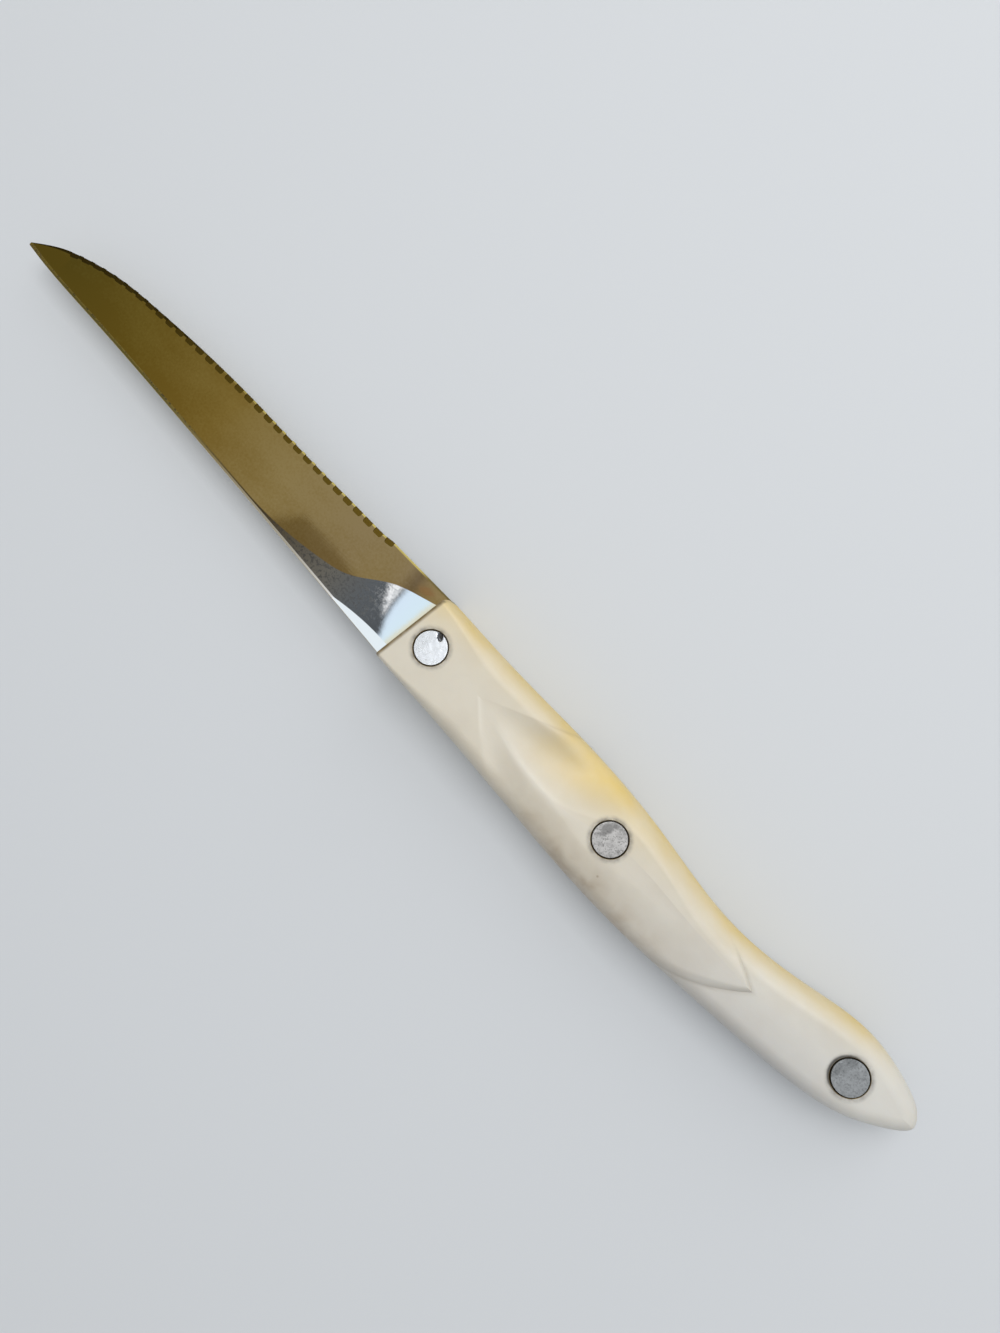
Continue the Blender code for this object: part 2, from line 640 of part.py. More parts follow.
def keep_creases(obj, crease_angle):
    """Keeps the sharp edges of a cut or turned piece sharp in the shading too."""
    tree = bpy.data.node_groups.new(f"{obj.name}_creases", "GeometryNodeTree")
    for direction in ("INPUT", "OUTPUT"):
        tree.interface.new_socket("Geometry", in_out=direction, socket_type="NodeSocketGeometry")
    given = tree.nodes.new("NodeGroupInput")
    result = tree.nodes.new("NodeGroupOutput")
    angle = tree.nodes.new("GeometryNodeInputMeshEdgeAngle")
    sharp = tree.nodes.new("FunctionNodeCompare")
    sharp.operation = "GREATER_THAN"
    sharp.inputs["B"].default_value = crease_angle
    shade = tree.nodes.new("GeometryNodeSetShadeSmooth")
    shade.domain = "EDGE"
    shade.inputs["Shade Smooth"].default_value = False
    tree.links.new(angle.outputs["Unsigned Angle"], sharp.inputs["A"])
    tree.links.new(sharp.outputs["Result"], shade.inputs["Selection"])
    tree.links.new(given.outputs["Geometry"], shade.inputs["Geometry"])
    tree.links.new(shade.outputs["Geometry"], result.inputs["Geometry"])
    obj.modifiers.new("creases", "NODES").node_group = tree


def finish(name, colour, metallic, roughness):
    material = bpy.data.materials.new(name)
    material.use_nodes = True
    shader = material.node_tree.nodes["Principled BSDF"]
    shader.inputs["Base Color"].default_value = colour
    shader.inputs["Metallic"].default_value = metallic
    shader.inputs["Roughness"].default_value = roughness
    material.diffuse_color = colour
    return material


def new_collection(name):
    collection = bpy.data.collections.new(name)
    bpy.context.scene.collection.children.link(collection)
    return collection


def clear_scene():
    for obj in list(bpy.data.objects):
        bpy.data.objects.remove(obj, do_unlink=True)


def knife_place():
    """Where the knife's axis and middle plane lie, so that its box stands centred on the origin."""
    xs = (-BLADE_LENGTH, HANDLE.at(BUTT)[0])
    ys = np.concatenate([HANDLE_RIM[:, 1], EDGE_CURVE[:, 1]])
    return (-sum(xs) / 2, -(ys.min() + ys.max()) / 2, max(FRONT_HALF, REAR_HALF))


def hide_cutter(obj):
    obj.hide_render = True
    obj.display_type = "WIRE"


def main():
    clear_scene()
    parts = new_collection("trimming_knife")
    cutters = new_collection("cutters")
    axis = bpy.data.objects.new("knife_axis", None)
    axis.location = knife_place()
    parts.objects.link(axis)

    resin = finish("moulded_resin", RESIN_COLOUR, metallic=0.0, roughness=0.4)
    steel = finish("polished_stainless", STEEL_COLOUR, metallic=1.0, roughness=0.15)
    nickel = finish("rivet_metal", RIVET_COLOUR, metallic=1.0, roughness=0.35)

    bores = []
    for place, (x, y, half) in rivet_places().items():
        male = turned(f"{place}_rivet_male", male_profile(half), parts, nickel, axis)
        female = turned(f"{place}_rivet_female", female_profile(half), parts, nickel, axis)
        bore = turned(f"{place}_rivet_bore", bore_profile(half), cutters, parent=axis)
        for obj in (male, female, bore):
            obj.location = (x, y, 0)
        bores.append(bore)

    tang_mesh = flat_solid("tang", tang_outline(-TANG_ROOT, 0.0), TANG_THICKNESS / 2)
    tang = new_object("tang", tang_mesh, cutters, parent=axis)
    pocket_mesh = flat_solid("tang_pocket", tang_outline(-TANG_ROOT, GAP), TANG_THICKNESS / 2 + GAP)
    pocket = new_object("tang_pocket", pocket_mesh, cutters, parent=axis)
    serration = new_object("serration", serration_mesh("serration"), cutters, parent=axis)

    blade = new_object("blade", blade_mesh("blade"), parts, steel, axis)
    cut(blade, tang, "UNION")
    cut(blade, serration)
    right = new_object("right_handle_half", handle_mesh("right_handle_half", 1), parts, resin, axis)
    left = new_object("left_handle_half", handle_mesh("left_handle_half", -1), parts, resin, axis)
    for half in (right, left):
        cut(half, pocket)
    for piece in (blade, right, left):
        for bore in bores:
            cut(piece, bore)
    crease_angles = {blade: BLADE_CREASE_ANGLE, right: HANDLE_CREASE_ANGLE, left: HANDLE_CREASE_ANGLE}
    for piece in parts.objects:
        if piece.type == "MESH":
            keep_creases(piece, crease_angles.get(piece, CREASE_ANGLE))
    for cutter in cutters.objects:
        hide_cutter(cutter)


if __name__ == "__main__":
    main()
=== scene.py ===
"""Trimming knife: the finished look of its handle, blade and rivets, laid out as a Blender add-on.

Metres, +Z up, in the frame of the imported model, where the knife lies on its left side. Every piece is drawn
about the knife's axis, with X = 0 at the handle's front and +X to the butt, +Y to the cutting edge and Z = 0
in the blade's middle plane. Its mesh is then moved to the place of the CAD node that it stands for.
"""

import math

import bmesh
import bpy
import numpy as np
from mathutils import Euler, Matrix, Vector


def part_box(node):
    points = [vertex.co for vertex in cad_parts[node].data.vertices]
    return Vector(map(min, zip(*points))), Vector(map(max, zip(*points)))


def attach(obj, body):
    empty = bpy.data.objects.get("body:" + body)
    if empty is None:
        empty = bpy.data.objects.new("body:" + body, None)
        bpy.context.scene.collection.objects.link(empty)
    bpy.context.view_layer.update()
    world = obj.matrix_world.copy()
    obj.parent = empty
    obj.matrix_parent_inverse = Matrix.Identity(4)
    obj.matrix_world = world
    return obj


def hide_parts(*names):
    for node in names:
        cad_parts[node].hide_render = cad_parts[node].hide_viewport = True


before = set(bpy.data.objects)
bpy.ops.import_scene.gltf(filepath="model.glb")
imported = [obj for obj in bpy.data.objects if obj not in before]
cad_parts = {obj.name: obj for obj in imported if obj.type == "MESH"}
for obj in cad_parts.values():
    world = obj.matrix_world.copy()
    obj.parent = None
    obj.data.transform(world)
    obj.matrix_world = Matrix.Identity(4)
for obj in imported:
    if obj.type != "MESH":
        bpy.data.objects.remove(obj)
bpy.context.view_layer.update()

bl_info = {
    "name": "Trimming knife",
    "version": (1, 0, 0),
    "blender": (4, 5, 0),
    "location": "3D View > Sidebar > Knife",
    "description": "Builds the handle, blade and rivets of a trimming knife, and the stage it is seen on",
    "category": "Add Mesh",
}

MM = 0.001

# Handle outline from the belly's front round the butt to the spine's front:
# share of the handle's length, and height above the knife's axis in millimetres
OUTLINE = (
    (0.0, 8.2),
    (0.167, 7.25),
    (0.366, 6.55),
    (0.486, 4.8),
    (0.641, 2.1),
    (0.772, 3.65),
    (0.884, 5.65),
    (0.963, 3.6),
    (0.991, 1.6),
    (1.0, -0.8),
    (0.991, -2.7),
    (0.971, -4.7),
    (0.923, -8.1),
    (0.836, -10.7),
    (0.685, -12.4),
    (0.51, -13.5),
    (0.366, -12.85),
    (0.207, -11.2),
    (0.0, -9.3),
)
FRONT_SLANT = math.radians(8.0)  # lean of the line where the blade enters the handle

# Creases across the handle's face: shares of its length at the spine, at the ridge and at the belly
FRONT_CREASE = (0.245, 0.15, 0.296)
REAR_CREASE = (0.561, 0.717, 0.607)
REAR_BOW = (3.6 * MM, 0.9 * MM)  # of the rear crease's two arms, towards the butt

# Ridge of the grip from the front crease to the rear one, and the middle line behind it, as in OUTLINE
RIDGE = (
    (0.15, -0.6),
    (0.206, -2.3),
    (0.24, -3.5),
    (0.295, -4.5),
    (0.345, -4.5),
    (0.385, -3.5),
    (0.43, -2.16),
    (0.573, -2.5),
    (0.717, -3.5),
)
REAR_LINE = ((0.717, -3.5), (0.886, -2.02), (1.0, -0.8))
FRONT_LINE_Y = -0.45 * MM
CREST_SHARE = 0.43  # where the crest and its rivet are, as a share of the handle's length

# Where the relief changes, as shares of the way from the front crease to the rear one
HOLLOW_FULL = 0.24  # the thumb hollow reaches its depth
HOLLOW_CLOSES = 0.22  # it begins to fade into the crest
SPINE_FULL = 0.22  # the spine's side reaches its fall
LAND_STARTS = 0.3  # the flat land about the crest's rivet begins
LAND_NARROWS = (0.55, 0.85)  # it narrows to the ridge's strip
SIDES_LEVEL = 0.62  # the sides begin to level out towards the wedge's end
RIDGE_LAND = 1.0 * MM  # flat strip on the wedge's ridge
END_LEVEL = 0.65  # share of the belly's side where the wedge's end runs out into the rear
RIDGE_SOFT = 0.12  # share of a side that the rounded ridge takes
CREASE_SOFT = 0.1  # share of the hollow's start that its soft crease takes
END_POWER = 1.6  # of the slope that ends the wedge, where 1 is straight
ROUND_POWER = 2.3  # of the edge rounding, where 2 is a plain ellipse
ROUND_GROWS = 24.0 * MM  # from the front, where the edge rounding reaches its full width
FRONT_ROUND = 0.3 * MM  # broken edge of the handle's front
SPINE_BULGE = 0.6  # how far the spine's side bulges, from 0 where it is nearly straight
WEDGE_RUN_AT = 0.5  # share of the spine's side where the wedge's end has its length at the spine

# Marks of use, mixed with painted light: yellowed by the hand, with painted warm light on the belly's rounded
# edge; stained at the spine, with painted shade on its sloping side; dirty in a crease, with painted shade
# there; worn pale on a ridge, with a painted highlight there
AGES = ("aged", "soiled", "crease", "worn")
HELD_AT = 0.4  # share of the handle's length where the hand has yellowed it most
HELD_SPREAD = 0.08
HELD_WIDTH = 3.6 * MM  # of the yellow band there
BAND_WIDTH = (1.8 * MM, 1.6 * MM)  # of the yellow band along the belly, in front and towards the butt; the band is yellowing mixed with painted warm light on the rounded edge
BAND_SHOWS = 0.88
BAND_LOSS = 0.06  # of the band's strength towards the butt
BAND_CHANGES = (0.55, 0.75)  # shares of the length between which it does
HOLLOW_SHOWS = 0.58  # yellow in the thumb hollow
BLADE_SHOWS = 0.22  # yellow by the blade
BLADE_SPREAD = 7.0 * MM  # of it along the handle
BLADE_REACH = 5.0 * MM  # from the middle line, where it is strongest
BUTT_CLEAN = 0.9  # share of the yellow that is missing at the butt
BUTT_STARTS = (0.86, 0.96)
STAIN_AND_SHADE_AT = 0.44  # share of the length where the spine's stain and painted shade are strongest
STAIN_AND_SHADE_SPREAD = 0.17
STAIN_AND_SHADE_INSET = (9.0 * MM, 1.0 * MM)  # from the rim, where the stain and painted shade start and where they are strongest
CREASE_HALF = 0.45 * MM  # half the width of the dirt and painted shade in a crease
FRONT_CREASE_INSET = (9.0 * MM, 3.0 * MM)  # from the rim, where the front one's dirt and painted shade start and are strongest
REAR_CREASE_REACH = (4.0 * MM, 9.0 * MM)  # from the ridge, where the rear one's dirt and painted shade begin to fade and end
CREASE_WEAR = (9.0 * MM, 5.0 * MM)  # from the ridge, where the front crease's wear and painted highlight start and are strongest
# Wear on the ridge, mixed with a painted highlight where the rounded ridge catches the light.
RIDGE_WEAR_HALF = 1.1 * MM
RIDGE_WEAR_STARTS = (0.05, 0.2)  # shares of the way between the creases
RIDGE_WEAR_ENDS = (0.45, 0.33)

# Blade, in shares of its length from the tip and millimetres above the knife's axis
EDGE_LINE = (
    (0.0, -0.1),
    (0.05, 3.5),
    (0.11, 6.0),
    (0.175, 7.65),
    (0.27, 8.6),
    (0.44, 9.2),
    (0.65, 8.7),
    (0.83, 8.2),
)
SPINE_LINE = (
    (0.0, -0.7),
    (0.034, -1.25),
    (0.16, -2.3),
    (0.25, -2.85),
    (0.42, -4.15),
    (0.8, -7.4),
    (1.0, -9.3),
)
# Plunge line of the grind: share of the blade's length, and millimetres above the spine
PLUNGE_LINE = (
    (0.585, 0.8),
    (0.68, 1.05),
    (0.75, 2.2),
    (0.805, 3.6),
    (0.845, 5.1),
    (0.876, 7.4),
    (0.912, 10.7),
    (0.935, 12.2),
    (0.967, 13.7),
    (1.0, 15.2),
)
TAPER_END = 0.55  # share of the blade where the stock reaches its full thickness
BEVEL_WIDENS = 0.866  # share of the blade where the spine's bevel begins to widen
BEVEL_FULL = 8.0 * MM  # on a narrower blade the bevel narrows with it
LEAST_FLAT = 0.3 * MM  # between the spine's bevel and the grind
LEAST_FLAT_SHARE = 0.125  # the same at the narrow tip, as a share of the blade's width
LEAST_GRIND_SHARE = 0.05  # of the blade's width, where the grind runs out at the heel
FRONT_LEAN_FADE = 6  # how quickly the sections turn upright, away from the handle's leaning front
HEEL_LENGTH = 18.5 * MM  # edge left unsharpened in front of the handle
HEEL_STEP = 0.3 * MM  # how far the heel stands out of the ground edge
HEEL_RUN = 2.5 * MM
SPINE_BREAK = 0.1 * MM  # rounded corner along the spine
TIP_PLAIN = 9.0 * MM  # plain edge at the tip
FADE_START = 0.42  # share of the blade, from the handle, where the recesses begin to grow shallower
FADE_END = 0.75  # and where they have lost their full share of depth
EDGE_TRIM = 0.004 * MM  # honed off the edge, which stays inside the part's box
TOOTH_BEVEL = 0.35 * MM  # width of the honed bevel on the teeth by the heel
LIP_NARROWS = 54.0 * MM  # from the tip, where the honed bevel has narrowed to that
LIP_MOST = 0.8  # largest share of the edge's half thickness that it takes
CORNER_MOST = 0.25  # largest share of the spine's bevel that its broken corner takes

SMEAR_HALF = (2.1 * MM, 0.85 * MM)  # of the dark smear on a rivet head
SMEAR_OFF = (-1.67 * MM, 0.73 * MM)  # from the head's centre
SMEAR_TURN = math.radians(75.0)
DENT_SIZE = MM / 0.9  # of the marks on a head
RIM_FLARE = 3.0  # height and width of the cutter that breaks a bore's edge, as a multiple of the broken edge
RIM_BREAK = 0.08 * MM
CHIP_PLACE = (-0.19 * MM, 2.75 * MM, 0.0)  # from the head's centre
CHIP_SIZE = (0.6 * MM, 1.0 * MM, 1.0)
CHIP_TURN = -0.75
NO_CHIP = (1.0, 0.0, 0.0)  # a place well off the head
LEFT_SEED = 10.0  # from the right head's seed to the left one's
# Metal, roughness, smear, depth of a chip, lean, depth below the other heads, and shift to the butt
# The three heads are one metal; their colours carry painted reflection, brightest at the front and darkest at
# the rear.
RIVET_LOOKS = {
    "front": ("bright_nickel_silver", 0.3, 0.12, 0.7 * MM, 0.0, 0.0, 0.0),
    "middle": ("mottled_nickel_silver", 0.36, 0.75, 0.0, 0.0, 0.0, 0.0),
    "rear": ("dull_nickel_silver", 0.42, 0.5, 0.0, -0.045, 0.12 * MM, 0.13 * MM),
}

SPINE_COLUMNS = 2  # of a section's side: half the spine and its broken corner
ON_SPINE = 1.15  # mark of the spine, tinted like a ground face, with tarnish and painted reflection
ON_BEVEL = -1.0  # mark of the spine's bevel, which gathers no dust
ON_EDGE = 2.0  # mark of a ground face at the edge, from 1 where it starts; a polished face has 0
IN_RECESS = 3.0  # mark of a recess

# Fits
SEAM = 0.05 * MM  # from the middle plane to each half, which shows as a hair line round the handle
SHOULDER_GAP = 0.12 * MM  # between the blade's shoulder and the handle
CLEARANCE = 0.15 * MM  # about the tang, inside
RING_GAP = 0.15 * MM  # about each rivet head

# Mesh densities
FRONT_EDGE_ROWS = (0.0, 0.0025, 0.006, 0.0105, 0.016, 0.024)  # shares of the front zone
FRONT_ROWS = 30
HOLLOW_ROWS = 18
WEDGE_ROWS = 84
END_ROWS = 18
REAR_ROWS = 60
FLAT_COLUMNS = 28
ROUND_COLUMNS = 14
ROUND_MOST = 0.98  # the rounding's largest share of the way from rim to ridge
ARM_SAMPLES = 160
BLADE_ROWS = 260
BLADE_ROW_CROWDING = (1.3, 1.15)  # of the rows at the tip and at the handle, where 1 is even
BEVEL_COLUMNS = 3
GRIND_FLAT_COLUMNS = 6
GROUND_COLUMNS = 14
TANG_ROWS = 40
LUG_STEPS = 25
OUTLINE_SAMPLES = 700
TURN_STEPS = 128
SHARP_ANGLE = math.radians(32.0)  # an edge sharper than this stays sharp in the shading
BLADE_SHARP_ANGLE = math.radians(7.0)


def linear(hex_code):
    """An sRGB hex colour as linear RGBA."""
    channels = [int(hex_code[i : i + 2], 16) / 255 for i in (1, 3, 5)]
    return tuple(c / 12.92 if c <= 0.04045 else ((c + 0.055) / 1.055) ** 2.4 for c in channels) + (1.0,)


def smooth_step(t):
    """Rises from 0 to 1 with level ends."""
    t = np.clip(t, 0.0, 1.0)
    return t * t * (3 - 2 * t)


def ramp(value, start, end):
    return smooth_step((value - start) / (end - start))


def mix(a, b, t):
    return a + (b - a) * t


def quick_start(value, full):
    """Rises quickly from 0 and levels out at 1, which leaves a soft crease where it starts."""
    t = min(value / full, 1.0)
    return math.sin(math.pi / 2 * t) * t * (1 + CREASE_SOFT) / (t + CREASE_SOFT)


def in_metres(knots, length, start=0.0):
    """Knots given as a share of a length and millimetres, as points in metres."""
    return [(start + share * length, height * MM) for share, height in knots]


def front_x(y):
    """The leaning line of the handle's front."""
    return y * math.tan(FRONT_SLANT)


class SmoothCurve:
    """A natural cubic curve through plane knots, spaced by chord length and read from 0 to 1."""

    def __init__(self, knots):
        self.knots = np.array(knots)
        chords = np.linalg.norm(np.diff(self.knots, axis=0), axis=1)
        self.place = np.concatenate([[0.0], np.cumsum(chords)]) / chords.sum()
        self.step = np.diff(self.place)
        count = len(self.knots)
        system = np.eye(count)
        bend = np.zeros_like(self.knots)
        for i in range(1, count - 1):
            before, after = self.step[i - 1], self.step[i]
            system[i, i - 1 : i + 2] = before, 2 * (before + after), after
            bend[i] = 6 * (self.knots[i + 1] - self.knots[i]) / after
            bend[i] -= 6 * (self.knots[i] - self.knots[i - 1]) / before
        self.second = np.linalg.solve(system, bend)

    def at(self, t):
        i = int(np.clip(np.searchsorted(self.place, t) - 1, 0, len(self.step) - 1))
        a = (self.place[i + 1] - t) / self.step[i]
        b = 1 - a
        curl = (a**3 - a) * self.second[i] + (b**3 - b) * self.second[i + 1]
        return a * self.knots[i] + b * self.knots[i + 1] + curl * self.step[i] ** 2 / 6

    def points(self, start, end, count):
        return np.array([self.at(t) for t in np.linspace(start, end, count)])

    def place_of_x(self, x, start, end):
        """Where the curve passes x, between two places along which x runs one way."""
        places = np.linspace(start, end, OUTLINE_SAMPLES)
        xs = self.points(start, end, OUTLINE_SAMPLES)[:, 0]
        order = np.argsort(xs)
        return float(np.interp(x, xs[order], places[order]))


class HandleForm:
    """The handle's rule: an outline, a ridge, and the relief between two creases that cross its face."""

    def __init__(self, sizes):
        self.sizes = sizes
        knots = in_metres(OUTLINE, sizes.length)
        for corner in (0, -1):
            knots[corner] = (front_x(knots[corner][1]), knots[corner][1])
        self.outline = SmoothCurve(knots)
        self.belly_front = self.outline.knots[0]
        self.butt = self.outline.place[[share for share, _ in OUTLINE].index(1.0)]
        self.rim = self.outline.points(0.0, 1.0, OUTLINE_SAMPLES)
        self.ridge = SmoothCurve(in_metres(RIDGE, sizes.length))
        self.rear_line = SmoothCurve(in_metres(REAR_LINE, sizes.length))
        crease_share = REAR_CREASE[1] - FRONT_CREASE[1]
        self.crease_run = crease_share * sizes.length
        self.crest_at = (CREST_SHARE - FRONT_CREASE[1]) / crease_share

    def belly_place(self, x):
        return self.outline.place_of_x(x, 0.0, self.butt)

    def spine_place(self, x):
        return self.outline.place_of_x(x, 1.0, self.butt)

    def rim_distance(self, points):
        """Distance of each point from the outline."""
        start = self.rim[:-1]
        along = self.rim[1:] - start
        lengths = (along**2).sum(axis=1)
        offset = points[:, None, :] - start[None]
        share = np.clip((offset * along).sum(axis=2) / lengths, 0, 1)
        return np.linalg.norm(offset - share[..., None] * along, axis=2).min(axis=1)

    def grip_height(self, a, reach, arm, to_belly):
        """Height of the grip's face, and how much of it is hollowed.

        a runs from the front crease to the rear one. reach is the way gone from ridge to rim, out of arm.
        """
        sizes = self.sizes
        dip = math.sin(math.pi * min(a / self.crest_at, 1.0)) ** 2
        top = sizes.front_half - sizes.ridge_dip * dip - sizes.wedge_fall * ramp(a, self.crest_at, 1.0)
        rivet_land = sizes.rivet_land * ramp(a, LAND_STARTS, self.crest_at)
        land = mix(rivet_land, RIDGE_LAND, ramp(a, *LAND_NARROWS))
        side = np.maximum(reach - land, 0.0) / (arm - land)
        soft = side**2 * (1 + RIDGE_SOFT) / (side + RIDGE_SOFT)
        to_end = ramp(a, SIDES_LEVEL, 1.0)
        if to_belly:
            closing = ramp(a, HOLLOW_CLOSES, self.crest_at)
            depth = quick_start(a, HOLLOW_FULL) * mix(sizes.hollow_depth, sizes.belly_fall, closing)
            scoop = mix(1 - (1 - soft) ** 2, side**2, closing)
            hollow = quick_start(a, HOLLOW_FULL) * (1 - closing) * scoop
            scoop = mix(scoop, ramp(side, 0.0, END_LEVEL), to_end)
            run = sizes.wedge_run[1] * np.ones_like(side)
        else:
            depth = quick_start(a, SPINE_FULL) * sizes.spine_fall
            scoop = mix(soft, side**2, SPINE_BULGE)
            hollow = np.zeros_like(side)
            run = mix(sizes.wedge_run[1], sizes.wedge_run[0], np.minimum(side / WEDGE_RUN_AT, 1.0))
        height = top - mix(depth, sizes.end_fall[int(to_belly)], to_end) * scoop
        left = np.minimum((1 - a) * self.crease_run / run, 1.0)
        return mix(sizes.rear_half, height, 1 - (1 - left) ** END_POWER), hollow

    def cross_lines(self):
        """Lines across the face from front to butt: zone, share of it, spine, ridge, belly, bows."""
        front_middle = np.array((front_x(FRONT_LINE_Y), FRONT_LINE_Y))
        creases = [[share * self.sizes.length for share in crease] for crease in (FRONT_CREASE, REAR_CREASE)]
        spine_ends = [self.spine_place(xs[0]) for xs in creases]
        belly_ends = [self.belly_place(xs[2]) for xs in creases]
        no_bow = (0.0, 0.0)
        lines = []
        front_rows = np.linspace(0, 1, FRONT_ROWS, endpoint=False)[1:]
        for t in np.concatenate([FRONT_EDGE_ROWS, front_rows]):
            spine = self.outline.at(mix(1.0, spine_ends[0], t))
            belly = self.outline.at(mix(0.0, belly_ends[0], t))
            lines.append(("front", t, spine, mix(front_middle, self.ridge.at(0), t), belly, no_bow))
        end = max(self.sizes.wedge_run) / self.crease_run
        hollow_rows = np.linspace(0, HOLLOW_FULL, HOLLOW_ROWS, endpoint=False)
        wedge_rows = np.linspace(HOLLOW_FULL, 1 - end, WEDGE_ROWS, endpoint=False)
        end_rows = 1 - end * (1 - np.linspace(0, 1, END_ROWS)) ** 2
        for a in np.concatenate([hollow_rows, wedge_rows, end_rows]):
            spine = self.outline.at(mix(spine_ends[0], spine_ends[1], a))
            belly = self.outline.at(mix(belly_ends[0], belly_ends[1], a))
            bows = tuple(bow * a for bow in REAR_BOW)
            lines.append(("grip", a, spine, self.ridge.at(a), belly, bows))
        for t in 1 - (1 - np.linspace(0, 1, REAR_ROWS + 1)[1:-1]) ** 2:
            spine = self.outline.at(mix(spine_ends[1], self.butt, t))
            belly = self.outline.at(mix(belly_ends[1], self.butt, t))
            bows = tuple(bow * (1 - t) ** 2 for bow in REAR_BOW)
            lines.append(("rear", t, spine, self.rear_line.at(t), belly, bows))
        return lines

    def arm(self, zone, a, ridge, rim, bow, to_belly):
        """Points from the ridge out to the rim, each with its marks of use and painted light: x, y, z, then
        those of AGES.
        """
        sizes = self.sizes
        along = rim - ridge
        length = np.linalg.norm(along)
        across = np.array((abs(along[1]), -along[0] * np.sign(along[1]))) / length
        control = (ridge + rim) / 2 + bow * across
        q = np.linspace(0, 1, ARM_SAMPLES)[:, None]
        path = (1 - q) ** 2 * ridge + 2 * q * (1 - q) * control + q**2 * rim
        distance = self.rim_distance(path)
        distance[-1] = 0.0
        edge_round = mix(sizes.front_edge_round, sizes.edge_round, ramp(rim[0], 0.0, ROUND_GROWS))
        inner = min(edge_round, ROUND_MOST * distance[0])
        rounding = inner * (1 - np.sin(np.linspace(0, math.pi / 2, ROUND_COLUMNS + 1)))
        q_round = np.interp(rounding, distance[::-1], q[::-1, 0])
        shares = np.concatenate([np.linspace(0, q_round[0], FLAT_COLUMNS + 1)[:-1], q_round])
        x, y = (np.interp(shares, q[:, 0], path[:, i]) for i in (0, 1))
        inset = np.interp(shares, q[:, 0], distance)
        hollow = np.zeros_like(shares)
        if zone == "grip":
            face, hollow = self.grip_height(a, shares * length, length, to_belly)
        else:
            face = np.full_like(shares, sizes.front_half if zone == "front" else sizes.rear_half)
        depth = np.minimum(inset / edge_round, 1.0)
        z = mix(SEAM, face, (1 - (1 - depth) ** ROUND_POWER) ** (1 / ROUND_POWER))
        from_front = np.clip((x - front_x(y)) / FRONT_ROUND, 0.0, 1.0)
        z -= FRONT_ROUND * (1 - np.sqrt(1 - (1 - from_front) ** 2)) * z / sizes.front_half
        return np.column_stack([x, y, z, *self.age(zone, a, x, inset, shares * length, hollow, to_belly)])

    def age(self, zone, a, x, inset, reach, hollow, to_belly):
        """Marks of use mixed with painted light, from 0 to 1, as AGES names them."""
        along = x / self.sizes.length
        none = np.zeros_like(x)
        held = np.exp(-(((along - HELD_AT) / HELD_SPREAD) ** 2))
        toward_butt = ramp(along, *BAND_CHANGES)
        width = mix(mix(*BAND_WIDTH, toward_butt), HELD_WIDTH, held)
        # The belly's band is the resin's yellowing mixed with painted warm light on its rounded edge.
        band = (BAND_SHOWS - BAND_LOSS * toward_butt) * np.exp(-inset / width)
        by_blade = BLADE_SHOWS * np.exp(-((x / BLADE_SPREAD) ** 2)) * ramp(reach, 0.0, BLADE_REACH)
        aged = 1 - (1 - band) * (1 - HOLLOW_SHOWS * hollow) * (1 - by_blade) if to_belly else none
        aged = aged * (1 - BUTT_CLEAN * ramp(along, *BUTT_STARTS))
        middle = np.exp(-(((along - STAIN_AND_SHADE_AT) / STAIN_AND_SHADE_SPREAD) ** 2))
        # Along the spine: brown stain mixed with painted shade on the sloping side.
        soiled = none if to_belly else ramp(inset, *STAIN_AND_SHADE_INSET) * middle
        to_crease = {"front": 1 - a, "grip": min(a, 1 - a), "rear": a}[zone] * self.crease_run / 2
        at_front = zone == "front" or (zone == "grip" and a < 0.5)
        # Along a crease: dirt mixed with painted shade.
        line = np.exp(-((to_crease / CREASE_HALF) ** 2))
        if at_front:
            crease = line * ramp(inset, *FRONT_CREASE_INSET) if to_belly else none
            worn = none if to_belly else line * ramp(reach, *CREASE_WEAR)
        else:
            crease = line * (1 - to_belly * ramp(reach, *REAR_CREASE_REACH))
            worn = none
        if zone == "grip":
            # On the ridge: wear mixed with a painted highlight.
            on_ridge = np.exp(-((reach / RIDGE_WEAR_HALF) ** 2))
            worn = np.maximum(worn, on_ridge * ramp(a, *RIDGE_WEAR_STARTS) * ramp(a, *RIDGE_WEAR_ENDS))
        return aged, soiled, crease, worn

    def rivet_places(self):
        """Rivet centres on the middle line, each with half the handle's thickness there."""
        sizes = self.sizes
        ridge_front = self.ridge.at(0)
        front_y = mix(FRONT_LINE_Y, ridge_front[1], sizes.front_rivet_back / ridge_front[0])
        middle = self.ridge.at(self.ridge.place_of_x(CREST_SHARE * sizes.length, 0, 1))
        rear_x = sizes.length - sizes.rear_rivet_ahead
        rear = self.rear_line.at(self.rear_line.place_of_x(rear_x, 0, 1))
        return {
            "front": (sizes.front_rivet_back, front_y, sizes.front_half),
            "middle": (*middle, sizes.front_half),
            "rear": (*rear, sizes.rear_half),
        }

    def tang_outline(self, sizes, grow):
        """The tang's outline from its root in the blade to its round lug, grown for its pocket."""
        rear = self.rivet_places()["rear"]
        inset = sizes.tang_inset - grow
        xs = np.linspace(0, rear[0], TANG_ROWS)
        upper = [(x, self.outline.at(self.belly_place(x))[1] - inset) for x in xs]
        lower = [(x, self.outline.at(self.spine_place(x))[1] + inset) for x in xs]
        upper[0] = (-sizes.tang_root, upper[0][1])
        lower[0] = (-sizes.tang_root, lower[0][1])
        lug = sizes.tang_lug + grow
        top = upper[-1][1] - rear[1]
        bottom = rear[1] - lower[-1][1]
        turn = np.linspace(math.pi / 2, -math.pi / 2, LUG_STEPS)[1:-1]
        end = []
        for t in turn:
            reach = top if t > 0 else bottom
            end.append((rear[0] + lug * math.cos(t), rear[1] + reach * math.sin(t)))
        return upper + end + lower[::-1]


